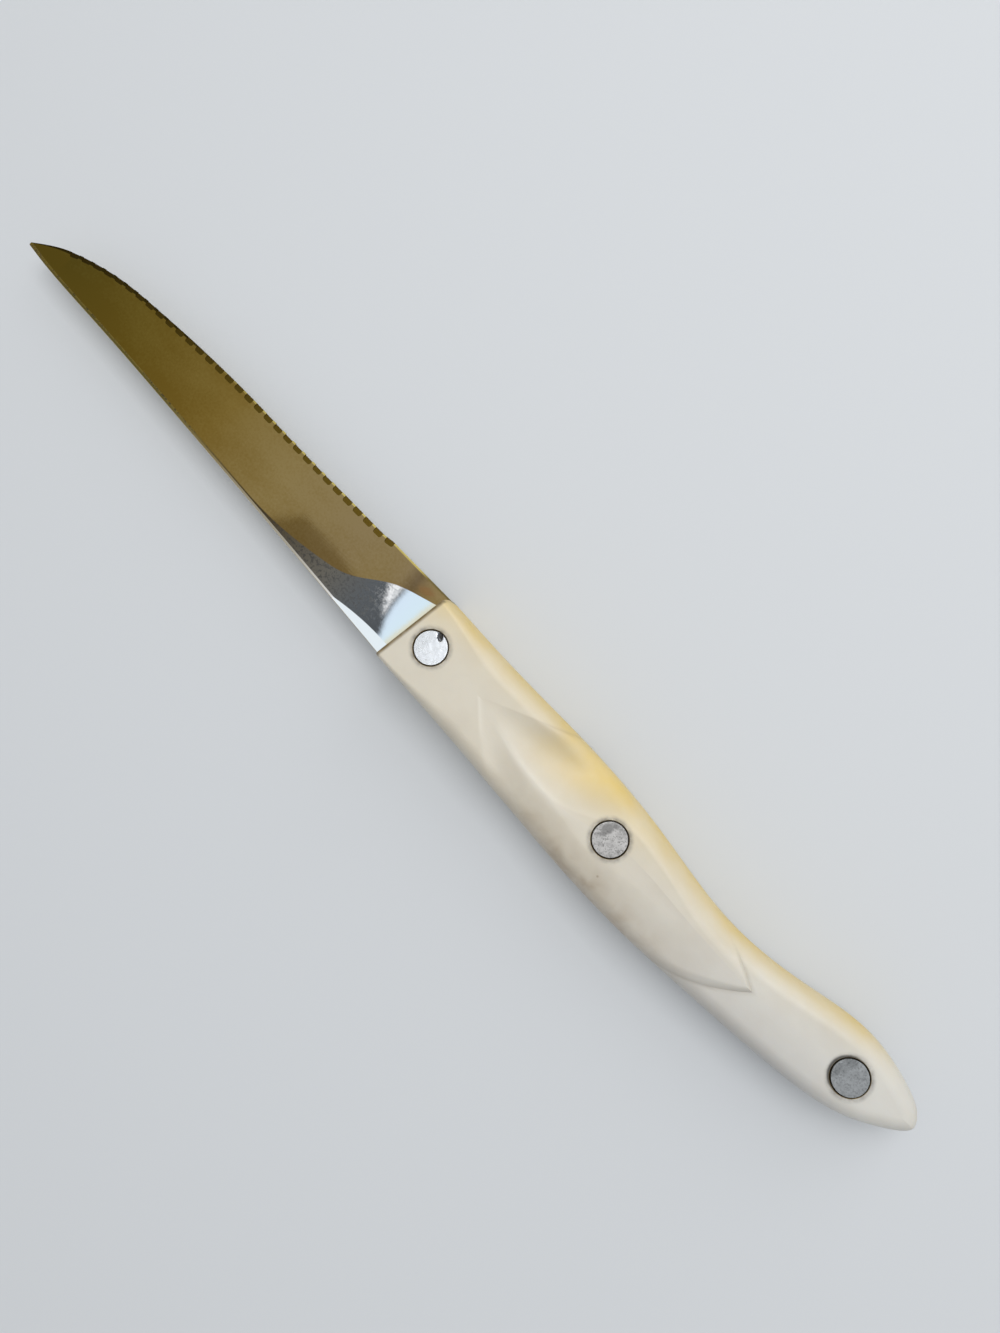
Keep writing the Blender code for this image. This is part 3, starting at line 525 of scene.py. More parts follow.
class BladeForm:
    """The blade's rule: edge, spine and plunge lines, and the section that follows them."""

    def __init__(self, sizes, handle):
        self.sizes = sizes
        self.heel_end = handle.belly_front[1]
        lines = (EDGE_LINE, SPINE_LINE, PLUNGE_LINE)
        curves = [SmoothCurve(in_metres(line, sizes.length, -sizes.length)) for line in lines]
        self.edge_line, self.spine_line, self.plunge_line = (c.points(0, 1, OUTLINE_SAMPLES) for c in curves)

    def edge(self, x):
        """Height of the cutting edge, with the heel standing a little out of the ground part."""
        ground = np.interp(x, self.edge_line[:, 0], self.edge_line[:, 1])
        heel = mix(self.edge_line[-1, 1] + HEEL_STEP, self.heel_end, (x + HEEL_LENGTH) / HEEL_LENGTH)
        return mix(ground, heel, smooth_step((x + HEEL_LENGTH) / HEEL_RUN)) - EDGE_TRIM

    def section(self, a):
        """Right side of the section, from the spine to the edge, at a share of the length from the tip."""
        sizes = self.sizes
        x = (a - 1) * sizes.length
        spine = np.interp(x, self.spine_line[:, 0], self.spine_line[:, 1])
        edge = self.edge(x)
        room = edge - spine
        half = mix(sizes.tip_stock, sizes.stock, smooth_step(a / TAPER_END)) / 2
        widening = 1 - (1 - max(a - BEVEL_WIDENS, 0.0) / (1 - BEVEL_WIDENS)) ** 2
        bevel = mix(sizes.bevel_tip, sizes.bevel, widening) * min(1.0, room / BEVEL_FULL)
        drop = sizes.bevel_slope * bevel
        plunge = spine + np.interp(x, self.plunge_line[:, 0], self.plunge_line[:, 1])
        first = spine + bevel + min(LEAST_FLAT, LEAST_FLAT_SHARE * room)
        grind = min(max(plunge, first), edge - LEAST_GRIND_SHARE * room)
        thin = max(half - sizes.grind_slope * (edge - grind), sizes.edge_thickness / 2)
        plain = 1 - ramp(x, -sizes.length + TIP_PLAIN, -sizes.length + LIP_NARROWS)
        lip = mix(TOOTH_BEVEL, sizes.edge_bevel, plain) * min(1.0, room / BEVEL_FULL)
        lip_drop = min(lip * sizes.edge_bevel_slope, LIP_MOST * thin)
        corner = min(SPINE_BREAK, CORNER_MOST * bevel)
        shoulder = half - drop * (1 - corner / bevel)
        points = [(spine, 0.0), (spine, half - drop - corner), (spine + corner, shoulder)]
        for t in np.linspace(0, 1, BEVEL_COLUMNS + 1)[1:]:
            points.append((mix(spine + corner, spine + bevel, t), mix(shoulder, half, t)))
        for t in np.linspace(0, 1, GRIND_FLAT_COLUMNS + 1)[1:]:
            points.append((mix(spine + bevel, grind, t), half))
        for t in np.linspace(0, 1, GROUND_COLUMNS + 1)[1:]:
            sag = sizes.grind_hollow * t * (1 - t)
            points.append((mix(grind, edge - lip, t), mix(half, thin, t + sag)))
        points.append((edge, thin - lip_drop))
        lean = a**FRONT_LEAN_FADE
        return [(x - SHOULDER_GAP * a + lean * front_x(y), y, z) for y, z in points]


def length_property(name, description, millimetres):
    return bpy.props.FloatProperty(
        name=name, description=description, default=millimetres * MM, unit="LENGTH"
    )


def colour_property(name, description, hex_code):
    return bpy.props.FloatVectorProperty(
        name=name, description=description, size=4, default=linear(hex_code), subtype="COLOR"
    )


class HandleSizes(bpy.types.PropertyGroup):
    """Sizes and colours of the handle"""

    length: length_property("Length", "From the blade to the butt", 125.598)
    front_half: length_property("Front half", "Half the thickness at the flat front", 7.0)
    rear_half: length_property("Rear half", "Half the thickness at the flat rear", 5.9)
    edge_round: length_property("Edge rounding", "How far in from the outline it reaches", 3.6)
    front_edge_round: length_property("Front edge rounding", "The same at the blade", 1.3)
    ridge_dip: length_property("Ridge dip", "Between the front crease and the crest", 0.3)
    wedge_fall: length_property("Wedge fall", "From the crest to the wedge's end", 0.35)
    wedge_run: bpy.props.FloatVectorProperty(
        name="Wedge run",
        description="Length of the slope that ends the wedge, on the spine's side and on the belly's",
        size=2,
        default=(5.0 * MM, 1.6 * MM),
        unit="LENGTH",
    )
    hollow_depth: length_property("Hollow depth", "Of the thumb hollow, at the belly", 2.7)
    belly_fall: length_property("Belly fall", "Of the side behind the hollow", 1.5)
    spine_fall: length_property("Spine fall", "Of the side towards the spine", 2.1)
    end_fall: bpy.props.FloatVectorProperty(
        name="End fall",
        description="Of the spine's and the belly's side where the wedge ends",
        size=2,
        default=(0.35 * MM, 0.7 * MM),
        unit="LENGTH",
    )
    rivet_land: length_property("Rivet land", "Radius of the flat about the crest's rivet", 3.65)
    front_rivet_back: length_property("Front rivet", "Behind the handle's front", 5.8)
    rear_rivet_ahead: length_property("Rear rivet", "Ahead of the butt", 14.3)
    cream: colour_property("Cream", "The resin at the front", "#CDC6B6")
    cool: colour_property("Cool", "The resin at the rear", "#CDCBC4")
    # Painted shade: the rear's spine side is drawn greyer to stand for the shade that falls on it.
    painted_shade: colour_property("Dim", "The rear's greyer side, at the spine", "#A9A9A9")
    # Yellowed: the resin's yellowing, which also paints the warm light on the belly's rounded edge.
    yellowed: colour_property("Yellowed", "Resin aged by the hand", "#D7B95C")
    # Worn: pale wear mixed with a painted highlight, on the ridges and on the front crease's spine arm.
    worn: colour_property("Worn", "Resin worn pale on its ridges", "#EDE9DF")
    # Brown stain along the spine, mixed with painted shade on its sloping side; the resin's clouds take this
    # colour too.
    soiled: colour_property("Soiled", "Stains along the spine", "#96836A")
    soot: colour_property("Soot", "Grey dirt round the rivets", "#5C5850")
    # Grime: dirt in gaps, creases and specks, which also paints the shade in the creases and at the handle's
    # front by the blade.
    grime_and_shade: colour_property("Grime", "Dirt in gaps and creases", "#6E5C36")


class BladeSizes(bpy.types.PropertyGroup):
    """Sizes and colours of the blade"""

    length: length_property("Length", "From the tip to the handle", 119.0)
    stock: length_property("Stock", "Thickness at the handle", 2.0)
    tip_stock: length_property("Tip stock", "Thickness at the tip", 1.0)
    edge_thickness: length_property("Edge", "Thickness that the grind leaves at the edge", 0.35)
    grind_slope: bpy.props.FloatProperty(
        name="Grind slope", description="Fall of the ground face for each unit of its width", default=0.06
    )
    grind_hollow: bpy.props.FloatProperty(
        name="Grind hollow", description="Hollow of the ground face, as a share of its fall", default=0.1
    )
    bevel: length_property("Spine bevel", "Width at the handle", 2.5)
    bevel_tip: length_property("Spine bevel at the tip", "Width towards the tip", 0.5)
    bevel_slope: bpy.props.FloatProperty(
        name="Spine bevel slope", description="Fall of the bevel for each unit of its width", default=0.16
    )
    edge_bevel: length_property("Edge bevel", "Width of the honed bevel at the plain tip", 0.9)
    edge_bevel_slope: bpy.props.FloatProperty(
        name="Edge bevel slope", description="Fall of the honed bevel for each unit of width", default=0.22
    )
    recess_pitch: length_property("Recess pitch", "From one ground recess to the next", 3.0)
    recess_width: length_property("Recess width", "Along the edge", 2.1)
    recess_reach: length_property("Recess reach", "In from the edge", 1.15)
    recess_corner: length_property("Recess corner", "Radius of its inner corners", 0.45)
    recess_sill: length_property("Recess sill", "Height of its inner wall", 0.06)
    recess_fade: length_property("Recess fade", "Loss of depth toward the tip", 0.17)
    recess_left: length_property("Recess edge", "Thickness left at its edge", 0.08)
    tang_thickness: length_property("Tang", "Thickness inside the handle", 1.7)
    tang_inset: length_property("Tang inset", "In from the handle's outline", 3.6)
    tang_root: length_property("Tang root", "How far it starts inside the blade", 4.0)
    tang_lug: length_property("Tang lug", "Round end about the rear rivet", 4.2)
    flat: colour_property("Flat", "Polished flat and spine bevel", "#DADAD9")
    # The ground colours hold a brown tint, partly a thin tarnish and partly a painted warm reflection, more
    # olive towards the tip.
    ground: colour_property("Ground", "Ground face by the handle", "#CFC2A4")
    ground_tip: colour_property("Ground tip", "Ground face at the tip", "#BBA878")
    # Recess: the recesses' colour is darkened, part brown dirt and part a painted dark reflection.
    recess: colour_property("Recess", "Ground recesses of the edge", "#5C4C20")
    # Painted reflection: a red-brown patch at the heel that stands for a dark reflection.
    stain: colour_property("Stain", "Brown stain at the heel", "#B48450")


class RivetSizes(bpy.types.PropertyGroup):
    """Sizes and colours of the rivets"""

    head_radius: length_property("Head radius", "Of the round heads", 3.35)
    head_depth: length_property("Head depth", "Thickness of the heads", 1.6)
    rim_round: length_property("Rim rounding", "Of the heads' edges", 0.15)
    recess: length_property("Recess", "Of the heads below the handle's face", 0.1)
    shank_radius: length_property("Shank radius", "Of the hollow left halves", 2.2)
    pin_radius: length_property("Pin radius", "Of the right halves' pins", 1.1)
    dent: length_property("Dents", "Depth of the marks on the heads", 0.03)
    # Painted reflection: one metal, drawn brighter at the front and darker towards the rear for the
    # reflection each head shows.
    front: colour_property("Front", "Bright metal of the front rivet", "#DEE3EC")
    middle: colour_property("Middle", "Metal of the middle rivet", "#A09F9E")
    rear: colour_property("Rear", "Dull metal of the rear rivet", "#818486")


class StageSizes(bpy.types.PropertyGroup):
    """Floor, light and camera"""

    floor: colour_property("Floor", "Colour of the floor", "#CBCED1")
    room: colour_property("Room", "Colour of the light all round", "#F1F3F5")
    room_strength: bpy.props.FloatProperty(
        name="Room strength", description="Strength of the light all round", default=0.55, min=0.0
    )
    key_power: bpy.props.FloatProperty(
        name="Key power",
        description="Of the large light over the knife",
        default=5.35,
        min=0.0,
        unit="POWER",
    )
    fill_power: bpy.props.FloatProperty(
        name="Fill power",
        description="Of the low light on the belly's side",
        default=1.7,
        min=0.0,
        unit="POWER",
    )
    lens: bpy.props.FloatProperty(
        name="Lens", description="Focal length on a 36 mm sensor", default=27.007, unit="CAMERA"
    )


def feed(tree, node, inputs):
    """Sets a node's inputs. Each takes a value, a node, or a node with the name of its output."""
    for key, value in inputs.items():
        named = [socket for socket in node.inputs if socket.enabled and socket.name == key]
        socket = named[0] if named else node.inputs[key]
        sources = value if isinstance(value, list) else [value]
        for source in sources:
            if isinstance(source, bpy.types.Node):
                source = next(output for output in source.outputs if output.enabled)
            elif isinstance(source, tuple) and isinstance(source[0], bpy.types.Node):
                source = source[0].outputs[source[1]]
            if isinstance(source, bpy.types.NodeSocket):
                tree.links.new(source, socket)
            else:
                socket.default_value = source


def add(tree, kind, inputs=None, **settings):
    """Adds a node with its settings and inputs."""
    node = tree.nodes.new(kind)
    for name, value in settings.items():
        setattr(node, name, value)
    feed(tree, node, inputs or {})
    return node


def new_tree(name, **inputs):
    """An empty Geometry Nodes tree with the named inputs of each kind, and its input node."""
    tree = bpy.data.node_groups.new(name, "GeometryNodeTree")
    tree.interface.new_socket("Geometry", in_out="OUTPUT", socket_type="NodeSocketGeometry")
    for kind, names in {"Geometry": ["Geometry"], **inputs, "Material": ["Material"]}.items():
        for socket_name in names:
            tree.interface.new_socket(socket_name, in_out="INPUT", socket_type=f"NodeSocket{kind}")
    return tree, add(tree, "NodeGroupInput")


def end_tree(tree, given, geometry, sharp_angle):
    """Ends a tree: shades it smooth but for its sharp edges, and gives it its material."""
    whole = add(tree, "GeometryNodeRealizeInstances", {"Geometry": geometry})
    smooth = add(tree, "GeometryNodeSetShadeSmooth", {"Geometry": whole, "Shade Smooth": True})
    angle = add(tree, "GeometryNodeInputMeshEdgeAngle")
    sharp = add(tree, "FunctionNodeCompare", {"A": angle, "B": sharp_angle}, operation="GREATER_THAN")
    creased = add(
        tree,
        "GeometryNodeSetShadeSmooth",
        {"Geometry": smooth, "Selection": sharp, "Shade Smooth": False},
        domain="EDGE",
    )
    coloured = add(tree, "GeometryNodeSetMaterial", {"Geometry": creased, "Material": (given, "Material")})
    add(tree, "NodeGroupOutput", {"Geometry": coloured})


def grow(tree, mesh, **inputs):
    """Runs a tree on a mesh, with its named inputs set, and gives back a plain mesh."""
    obj = bpy.data.objects.new(tree.name, mesh)
    bpy.context.scene.collection.objects.link(obj)
    modifier = obj.modifiers.new(tree.name, "NODES")
    modifier.node_group = tree
    for item in tree.interface.items_tree:
        key = item.name.lower().replace(" ", "_")
        if item.in_out == "INPUT" and key in inputs:
            modifier[item.identifier] = inputs[key]
    graph = bpy.context.evaluated_depsgraph_get()
    grown = bpy.data.meshes.new_from_object(
        obj.evaluated_get(graph), preserve_all_data_layers=True, depsgraph=graph
    )
    obj.modifiers.remove(modifier)
    bpy.data.objects.remove(obj)
    if not grown.polygons:
        raise RuntimeError(f"{tree.name} made nothing")
    return grown


def helper(name, mesh):
    """A hidden object that a tree reads."""
    obj = bpy.data.objects.new(name, mesh)
    bpy.context.scene.collection.objects.link(obj)
    return obj


def place(name, mesh, node, slot, turn=None):
    """Puts a finished mesh where its CAD node is, as a piece that rides on the knife."""
    mesh.name = name
    mesh.transform(Matrix.Translation(knife_axis()) @ (turn or Matrix.Identity(4)))
    piece = bpy.data.objects.new(name, mesh)
    bpy.context.scene.collection.objects.link(piece)
    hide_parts(node)
    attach(piece, "root")
    return piece


def knife_axis():
    """Where the knife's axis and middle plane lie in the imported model."""
    scene = bpy.context.scene
    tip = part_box("blade")[0]
    low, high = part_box("right_handle_half")
    spine = HandleForm(scene.knife_handle).rim[:, 1].min()
    return Vector((tip.x + scene.knife_blade.length, low.y - spine, high.z / 2))


def plate(name, outline, half_thickness):
    """A flat outline given its thickness about the middle plane."""
    bm = bmesh.new()
    lower = [bm.verts.new((x, y, -half_thickness)) for x, y in outline]
    upper = [bm.verts.new((x, y, half_thickness)) for x, y in outline]
    bm.faces.new(lower)
    bm.faces.new(upper)
    for i in range(len(outline)):
        j = (i + 1) % len(outline)
        bm.faces.new((lower[i], lower[j], upper[j], upper[i]))
    bmesh.ops.recalc_face_normals(bm, faces=bm.faces)
    mesh = bpy.data.meshes.new(name)
    bm.to_mesh(mesh)
    bm.free()
    return mesh


def points_mesh(name, points):
    """Loose points, for a tree to place copies on."""
    mesh = bpy.data.meshes.new(name)
    mesh.from_pydata([tuple(point) for point in points], [], [])
    return mesh


def handle_loft(form):
    """The right half, lofted over the cross lines and closed at the seam, with its marks of use and painted
    light.
    """
    rows = []
    for zone, a, spine, ridge, belly, bows in form.cross_lines():
        lower = form.arm(zone, a, ridge, spine, bows[0], False)
        upper = form.arm(zone, a, ridge, belly, bows[1], True)
        rows.append(np.concatenate([lower[::-1], upper[1:]]))
    columns = len(rows[0])
    table = np.concatenate(rows)
    butt = form.outline.at(form.butt)
    table = np.vstack([table, [butt[0], butt[1], SEAM] + [0.0] * len(AGES)])
    index = np.arange(len(rows) * columns).reshape(len(rows), columns)
    pole = len(table) - 1
    faces = []
    for before, after in zip(index, index[1:]):
        for i in range(columns - 1):
            faces.append((before[i], before[i + 1], after[i + 1], after[i]))
    for i in range(columns - 1):
        faces.append((index[-1, i], index[-1, i + 1], pole))
    faces.append([*index[:, 0], pole, *index[::-1, -1]])
    faces.append(list(index[0]))
    mesh = bpy.data.meshes.new("handle_loft")
    mesh.from_pydata(table[:, :3].tolist(), [], [[int(i) for i in face] for face in faces])
    for column, name in enumerate(AGES, 3):
        mark = mesh.attributes.new(name, "FLOAT", "POINT")
        mark.data.foreach_set("value", table[:, column].astype(np.float32))
    bm = bmesh.new()
    bm.from_mesh(mesh)
    bmesh.ops.recalc_face_normals(bm, faces=bm.faces)
    bm.to_mesh(mesh)
    bm.free()
    return mesh


def bored_half_tree():
    """Cuts the tang's pocket and the stepped, broken-edged rivet bores out of a handle half."""
    tree, given = new_tree(
        "bored_half",
        Object=("Places", "Pocket"),
        Float=("Head Bore", "Head Seat", "Shank Bore", "Rim Break", "Through"),
    )
    places = add(tree, "GeometryNodeObjectInfo", {"Object": (given, "Places")})
    points = add(tree, "GeometryNodeMeshToPoints", {"Mesh": (places, "Geometry")})
    seat = add(tree, "ShaderNodeMath", {0: (given, "Head Seat"), 1: 2.0}, operation="MULTIPLY")
    head = add(
        tree,
        "GeometryNodeMeshCylinder",
        {"Vertices": TURN_STEPS, "Radius": (given, "Head Bore"), "Depth": seat},
    )
    shank = add(
        tree,
        "GeometryNodeMeshCylinder",
        {"Vertices": TURN_STEPS // 2, "Radius": (given, "Shank Bore"), "Depth": (given, "Through")},
    )
    flare = add(tree, "ShaderNodeMath", {0: (given, "Rim Break"), 1: RIM_FLARE}, operation="MULTIPLY")
    wide = add(tree, "ShaderNodeMath", {0: (given, "Head Bore"), 1: flare}, operation="ADD")
    rim = add(
        tree,
        "GeometryNodeMeshCone",
        {"Vertices": TURN_STEPS, "Radius Top": wide, "Radius Bottom": (given, "Head Bore"), "Depth": flare},
    )
    down = add(tree, "ShaderNodeMath", {0: (given, "Rim Break"), 1: -1.0}, operation="MULTIPLY")
    sunk = add(tree, "ShaderNodeCombineXYZ", {"Z": down})
    rim_sunk = add(tree, "GeometryNodeTransform", {"Geometry": rim, "Translation": sunk})
    cutter = add(tree, "GeometryNodeJoinGeometry", {"Geometry": [head, shank, rim_sunk]})
    bores = add(tree, "GeometryNodeInstanceOnPoints", {"Points": points, "Instance": cutter})
    bores_real = add(tree, "GeometryNodeRealizeInstances", {"Geometry": bores})
    pocket = add(tree, "GeometryNodeObjectInfo", {"Object": (given, "Pocket")})
    bored = add(
        tree,
        "GeometryNodeMeshBoolean",
        {
            "Mesh 1": (given, "Geometry"),
            "Mesh 2": [bores_real, (pocket, "Geometry")],
            "Self Intersection": True,
        },
        operation="DIFFERENCE",
        solver="EXACT",
    )
    end_tree(tree, given, bored, SHARP_ANGLE)
    return tree


def blade_loft(form):
    """The blade from its tip to the shoulder, with its ground faces and cutting edge marked."""
    tip_crowd, heel_crowd = BLADE_ROW_CROWDING
    rings = []
    for a in 1 - (1 - np.linspace(0, 1, BLADE_ROWS) ** tip_crowd) ** heel_crowd:
        right = form.section(a)
        left = [(x, y, -z) for x, y, z in reversed(right[1:])]
        rings.append(right + left)
    count = len(rings[0])
    index = np.arange(len(rings) * count).reshape(len(rings), count)
    flat_start = SPINE_COLUMNS + BEVEL_COLUMNS
    grind = flat_start + GRIND_FLAT_COLUMNS
    lip = grind + GROUND_COLUMNS
    edge = lip + 1
    across = [min(max(min(i, 2 * edge + 1 - i) - grind, 0) / GROUND_COLUMNS, 1.0) for i in range(count)]
    faces, ground = [], []
    for before, after in zip(index, index[1:]):
        for i in range(count):
            j = (i + 1) % count
            faces.append([int(v) for v in (before[i], before[j], after[j], after[i])])
            side = min(i, 2 * edge - i)
            if side < flat_start:
                ground += [ON_SPINE if side < SPINE_COLUMNS else ON_BEVEL] * 4
            else:
                ground += [1 + across[column] if side >= grind else 0.0 for column in (i, j, j, i)]
    faces.append([int(v) for v in index[0]])
    faces.append([int(v) for v in index[-1]])
    ground += [0.0] * (2 * count)
    mesh = bpy.data.meshes.new("blade_loft")
    mesh.from_pydata([point for ring in rings for point in ring], [], faces)
    mesh.attributes.new("ground", "FLOAT", "CORNER").data.foreach_set("value", ground)
    sharp_columns = {flat_start, grind, lip, edge}
    sharp_columns |= {2 * edge + 1 - column for column in sharp_columns}
    served = np.array([point[0][0] for point in rings])
    start = -form.sizes.length + TIP_PLAIN
    end = -HEEL_LENGTH + HEEL_RUN / 2
    bm = bmesh.new()
    bm.from_mesh(mesh)
    cutting = bm.edges.layers.bool.new("cutting_edge")
    bm.verts.ensure_lookup_table()
    for line in bm.edges:
        one, two = (vert.index for vert in line.verts)
        column = one % count
        if column == two % count and one // count != two // count and column in sharp_columns:
            line.smooth = False
        along = column == two % count == edge and start <= served[one // count] <= end
        line[cutting] = bool(along and start <= served[two // count] <= end)
    bmesh.ops.recalc_face_normals(bm, faces=bm.faces)
    bm.to_mesh(mesh)
    bm.free()
    return mesh


def finished_blade_tree():
    """Joins the tang to the blade, bores it, and grinds recesses along the right face's edge."""
    recess_inputs = ("Pitch", "Width", "Reach", "Corner", "Rise", "Drop")
    fade_inputs = ("Fade Start", "Fade End", "Shallower")
    tree, given = new_tree(
        "finished_blade",
        Object=("Tang", "Places"),
        Float=("Bore", "Through", *recess_inputs, *fade_inputs),
    )
    tang = add(tree, "GeometryNodeObjectInfo", {"Object": (given, "Tang")})
    tang_marked = add(
        tree,
        "GeometryNodeStoreNamedAttribute",
        {"Geometry": (tang, "Geometry"), "Name": "ground", "Value": 0.0},
        data_type="FLOAT",
        domain="CORNER",
    )
    whole = add(
        tree,
        "GeometryNodeMeshBoolean",
        {"Mesh 2": [(given, "Geometry"), tang_marked]},
        operation="UNION",
        solver="EXACT",
    )
    places = add(tree, "GeometryNodeObjectInfo", {"Object": (given, "Places")})
    spots = add(tree, "GeometryNodeMeshToPoints", {"Mesh": (places, "Geometry")})
    drill = add(
        tree,
        "GeometryNodeMeshCylinder",
        {"Vertices": TURN_STEPS // 2, "Radius": (given, "Bore"), "Depth": (given, "Through")},
    )
    drill_marked = add(
        tree,
        "GeometryNodeStoreNamedAttribute",
        {"Geometry": drill, "Name": "ground", "Value": 0.0},
        data_type="FLOAT",
        domain="CORNER",
    )
    holes = add(tree, "GeometryNodeInstanceOnPoints", {"Points": spots, "Instance": drill_marked})

    marked = add(tree, "GeometryNodeInputNamedAttribute", {"Name": "cutting_edge"}, data_type="BOOLEAN")
    path = add(tree, "GeometryNodeMeshToCurve", {"Mesh": (given, "Geometry"), "Selection": marked})
    beads = add(
        tree,
        "GeometryNodeCurveToPoints",
        {"Curve": path, "Length": (given, "Pitch")},
        mode="LENGTH",
    )
    bead = add(tree, "ShaderNodeSeparateXYZ", {"Vector": add(tree, "GeometryNodeInputPosition")})
    shallower = add(
        tree,
        "ShaderNodeMapRange",
        {
            "Value": bead,
            "From Min": (given, "Fade Start"),
            "From Max": (given, "Fade End"),
            "To Max": (given, "Shallower"),
        },
    )
    lift = add(tree, "ShaderNodeCombineXYZ", {"Z": shallower})
    lifted = add(tree, "GeometryNodeSetPosition", {"Geometry": (beads, "Points"), "Offset": lift})
    split = add(tree, "ShaderNodeSeparateXYZ", {"Vector": (beads, "Tangent")})
    sense = add(tree, "ShaderNodeMath", {0: split}, operation="SIGN")
    heelward = add(
        tree,
        "ShaderNodeVectorMath",
        {"Vector": (beads, "Tangent"), "Scale": sense},
        operation="SCALE",
    )
    turn = add(tree, "FunctionNodeAlignRotationToVector", {"Vector": heelward}, axis="X", pivot_axis="Z")

    double = add(tree, "ShaderNodeMath", {0: (given, "Reach"), 1: 2.0}, operation="MULTIPLY")
    bay = add(tree, "GeometryNodeCurvePrimitiveQuadrilateral", {"Width": (given, "Width"), "Height": double})
    rounded = add(
        tree,
        "GeometryNodeFilletCurve",
        {"Curve": bay, "Radius": (given, "Corner"), "Count": 5},
        mode="POLY",
    )
    base = add(tree, "GeometryNodeFillCurve", {"Curve": rounded}, mode="NGONS")
    spot = add(tree, "GeometryNodeInputPosition")
    depth = add(tree, "ShaderNodeSeparateXYZ", {"Vector": spot})
    inward = add(tree, "ShaderNodeMath", {0: (depth, "Y"), 1: (given, "Reach")}, operation="DIVIDE")
    span = add(tree, "ShaderNodeMath", {0: (given, "Rise"), 1: (given, "Drop")}, operation="ADD")
    slope = add(tree, "ShaderNodeMath", {0: inward, 1: span}, operation="MULTIPLY")
    level = add(tree, "ShaderNodeMath", {0: slope, 1: (given, "Drop")}, operation="ADD")
    below = add(tree, "ShaderNodeMath", {0: level, 1: -1.0}, operation="MULTIPLY")
    lower = add(tree, "ShaderNodeCombineXYZ", {"Z": below})
    floor = add(tree, "GeometryNodeSetPosition", {"Geometry": base, "Offset": lower})
    high = add(tree, "ShaderNodeCombineXYZ", {"Z": (given, "Through")})
    raised = add(
        tree,
        "GeometryNodeExtrudeMesh",
        {"Mesh": floor, "Offset": high, "Offset Scale": 1.0, "Individual": False},
        mode="FACES",
    )
    under = add(tree, "GeometryNodeFlipFaces", {"Mesh": floor})
    shell = add(tree, "GeometryNodeJoinGeometry", {"Geometry": [raised, under]})
    closed = add(tree, "GeometryNodeMergeByDistance", {"Geometry": shell, "Distance": 0.001 * MM})
    tagged = add(
        tree,
        "GeometryNodeStoreNamedAttribute",
        {"Geometry": closed, "Name": "ground", "Value": IN_RECESS},
        data_type="FLOAT",
        domain="CORNER",
    )
    bays = add(
        tree,
        "GeometryNodeInstanceOnPoints",
        {"Points": lifted, "Instance": tagged, "Rotation": turn},
    )
    cutters = add(tree, "GeometryNodeJoinGeometry", {"Geometry": [holes, bays]})
    cutters_real = add(tree, "GeometryNodeRealizeInstances", {"Geometry": cutters})
    cut = add(
        tree,
        "GeometryNodeMeshBoolean",
        {"Mesh 1": whole, "Mesh 2": cutters_real},
        operation="DIFFERENCE",
        solver="EXACT",
    )
    end_tree(tree, given, cut, BLADE_SHARP_ANGLE)
    return tree


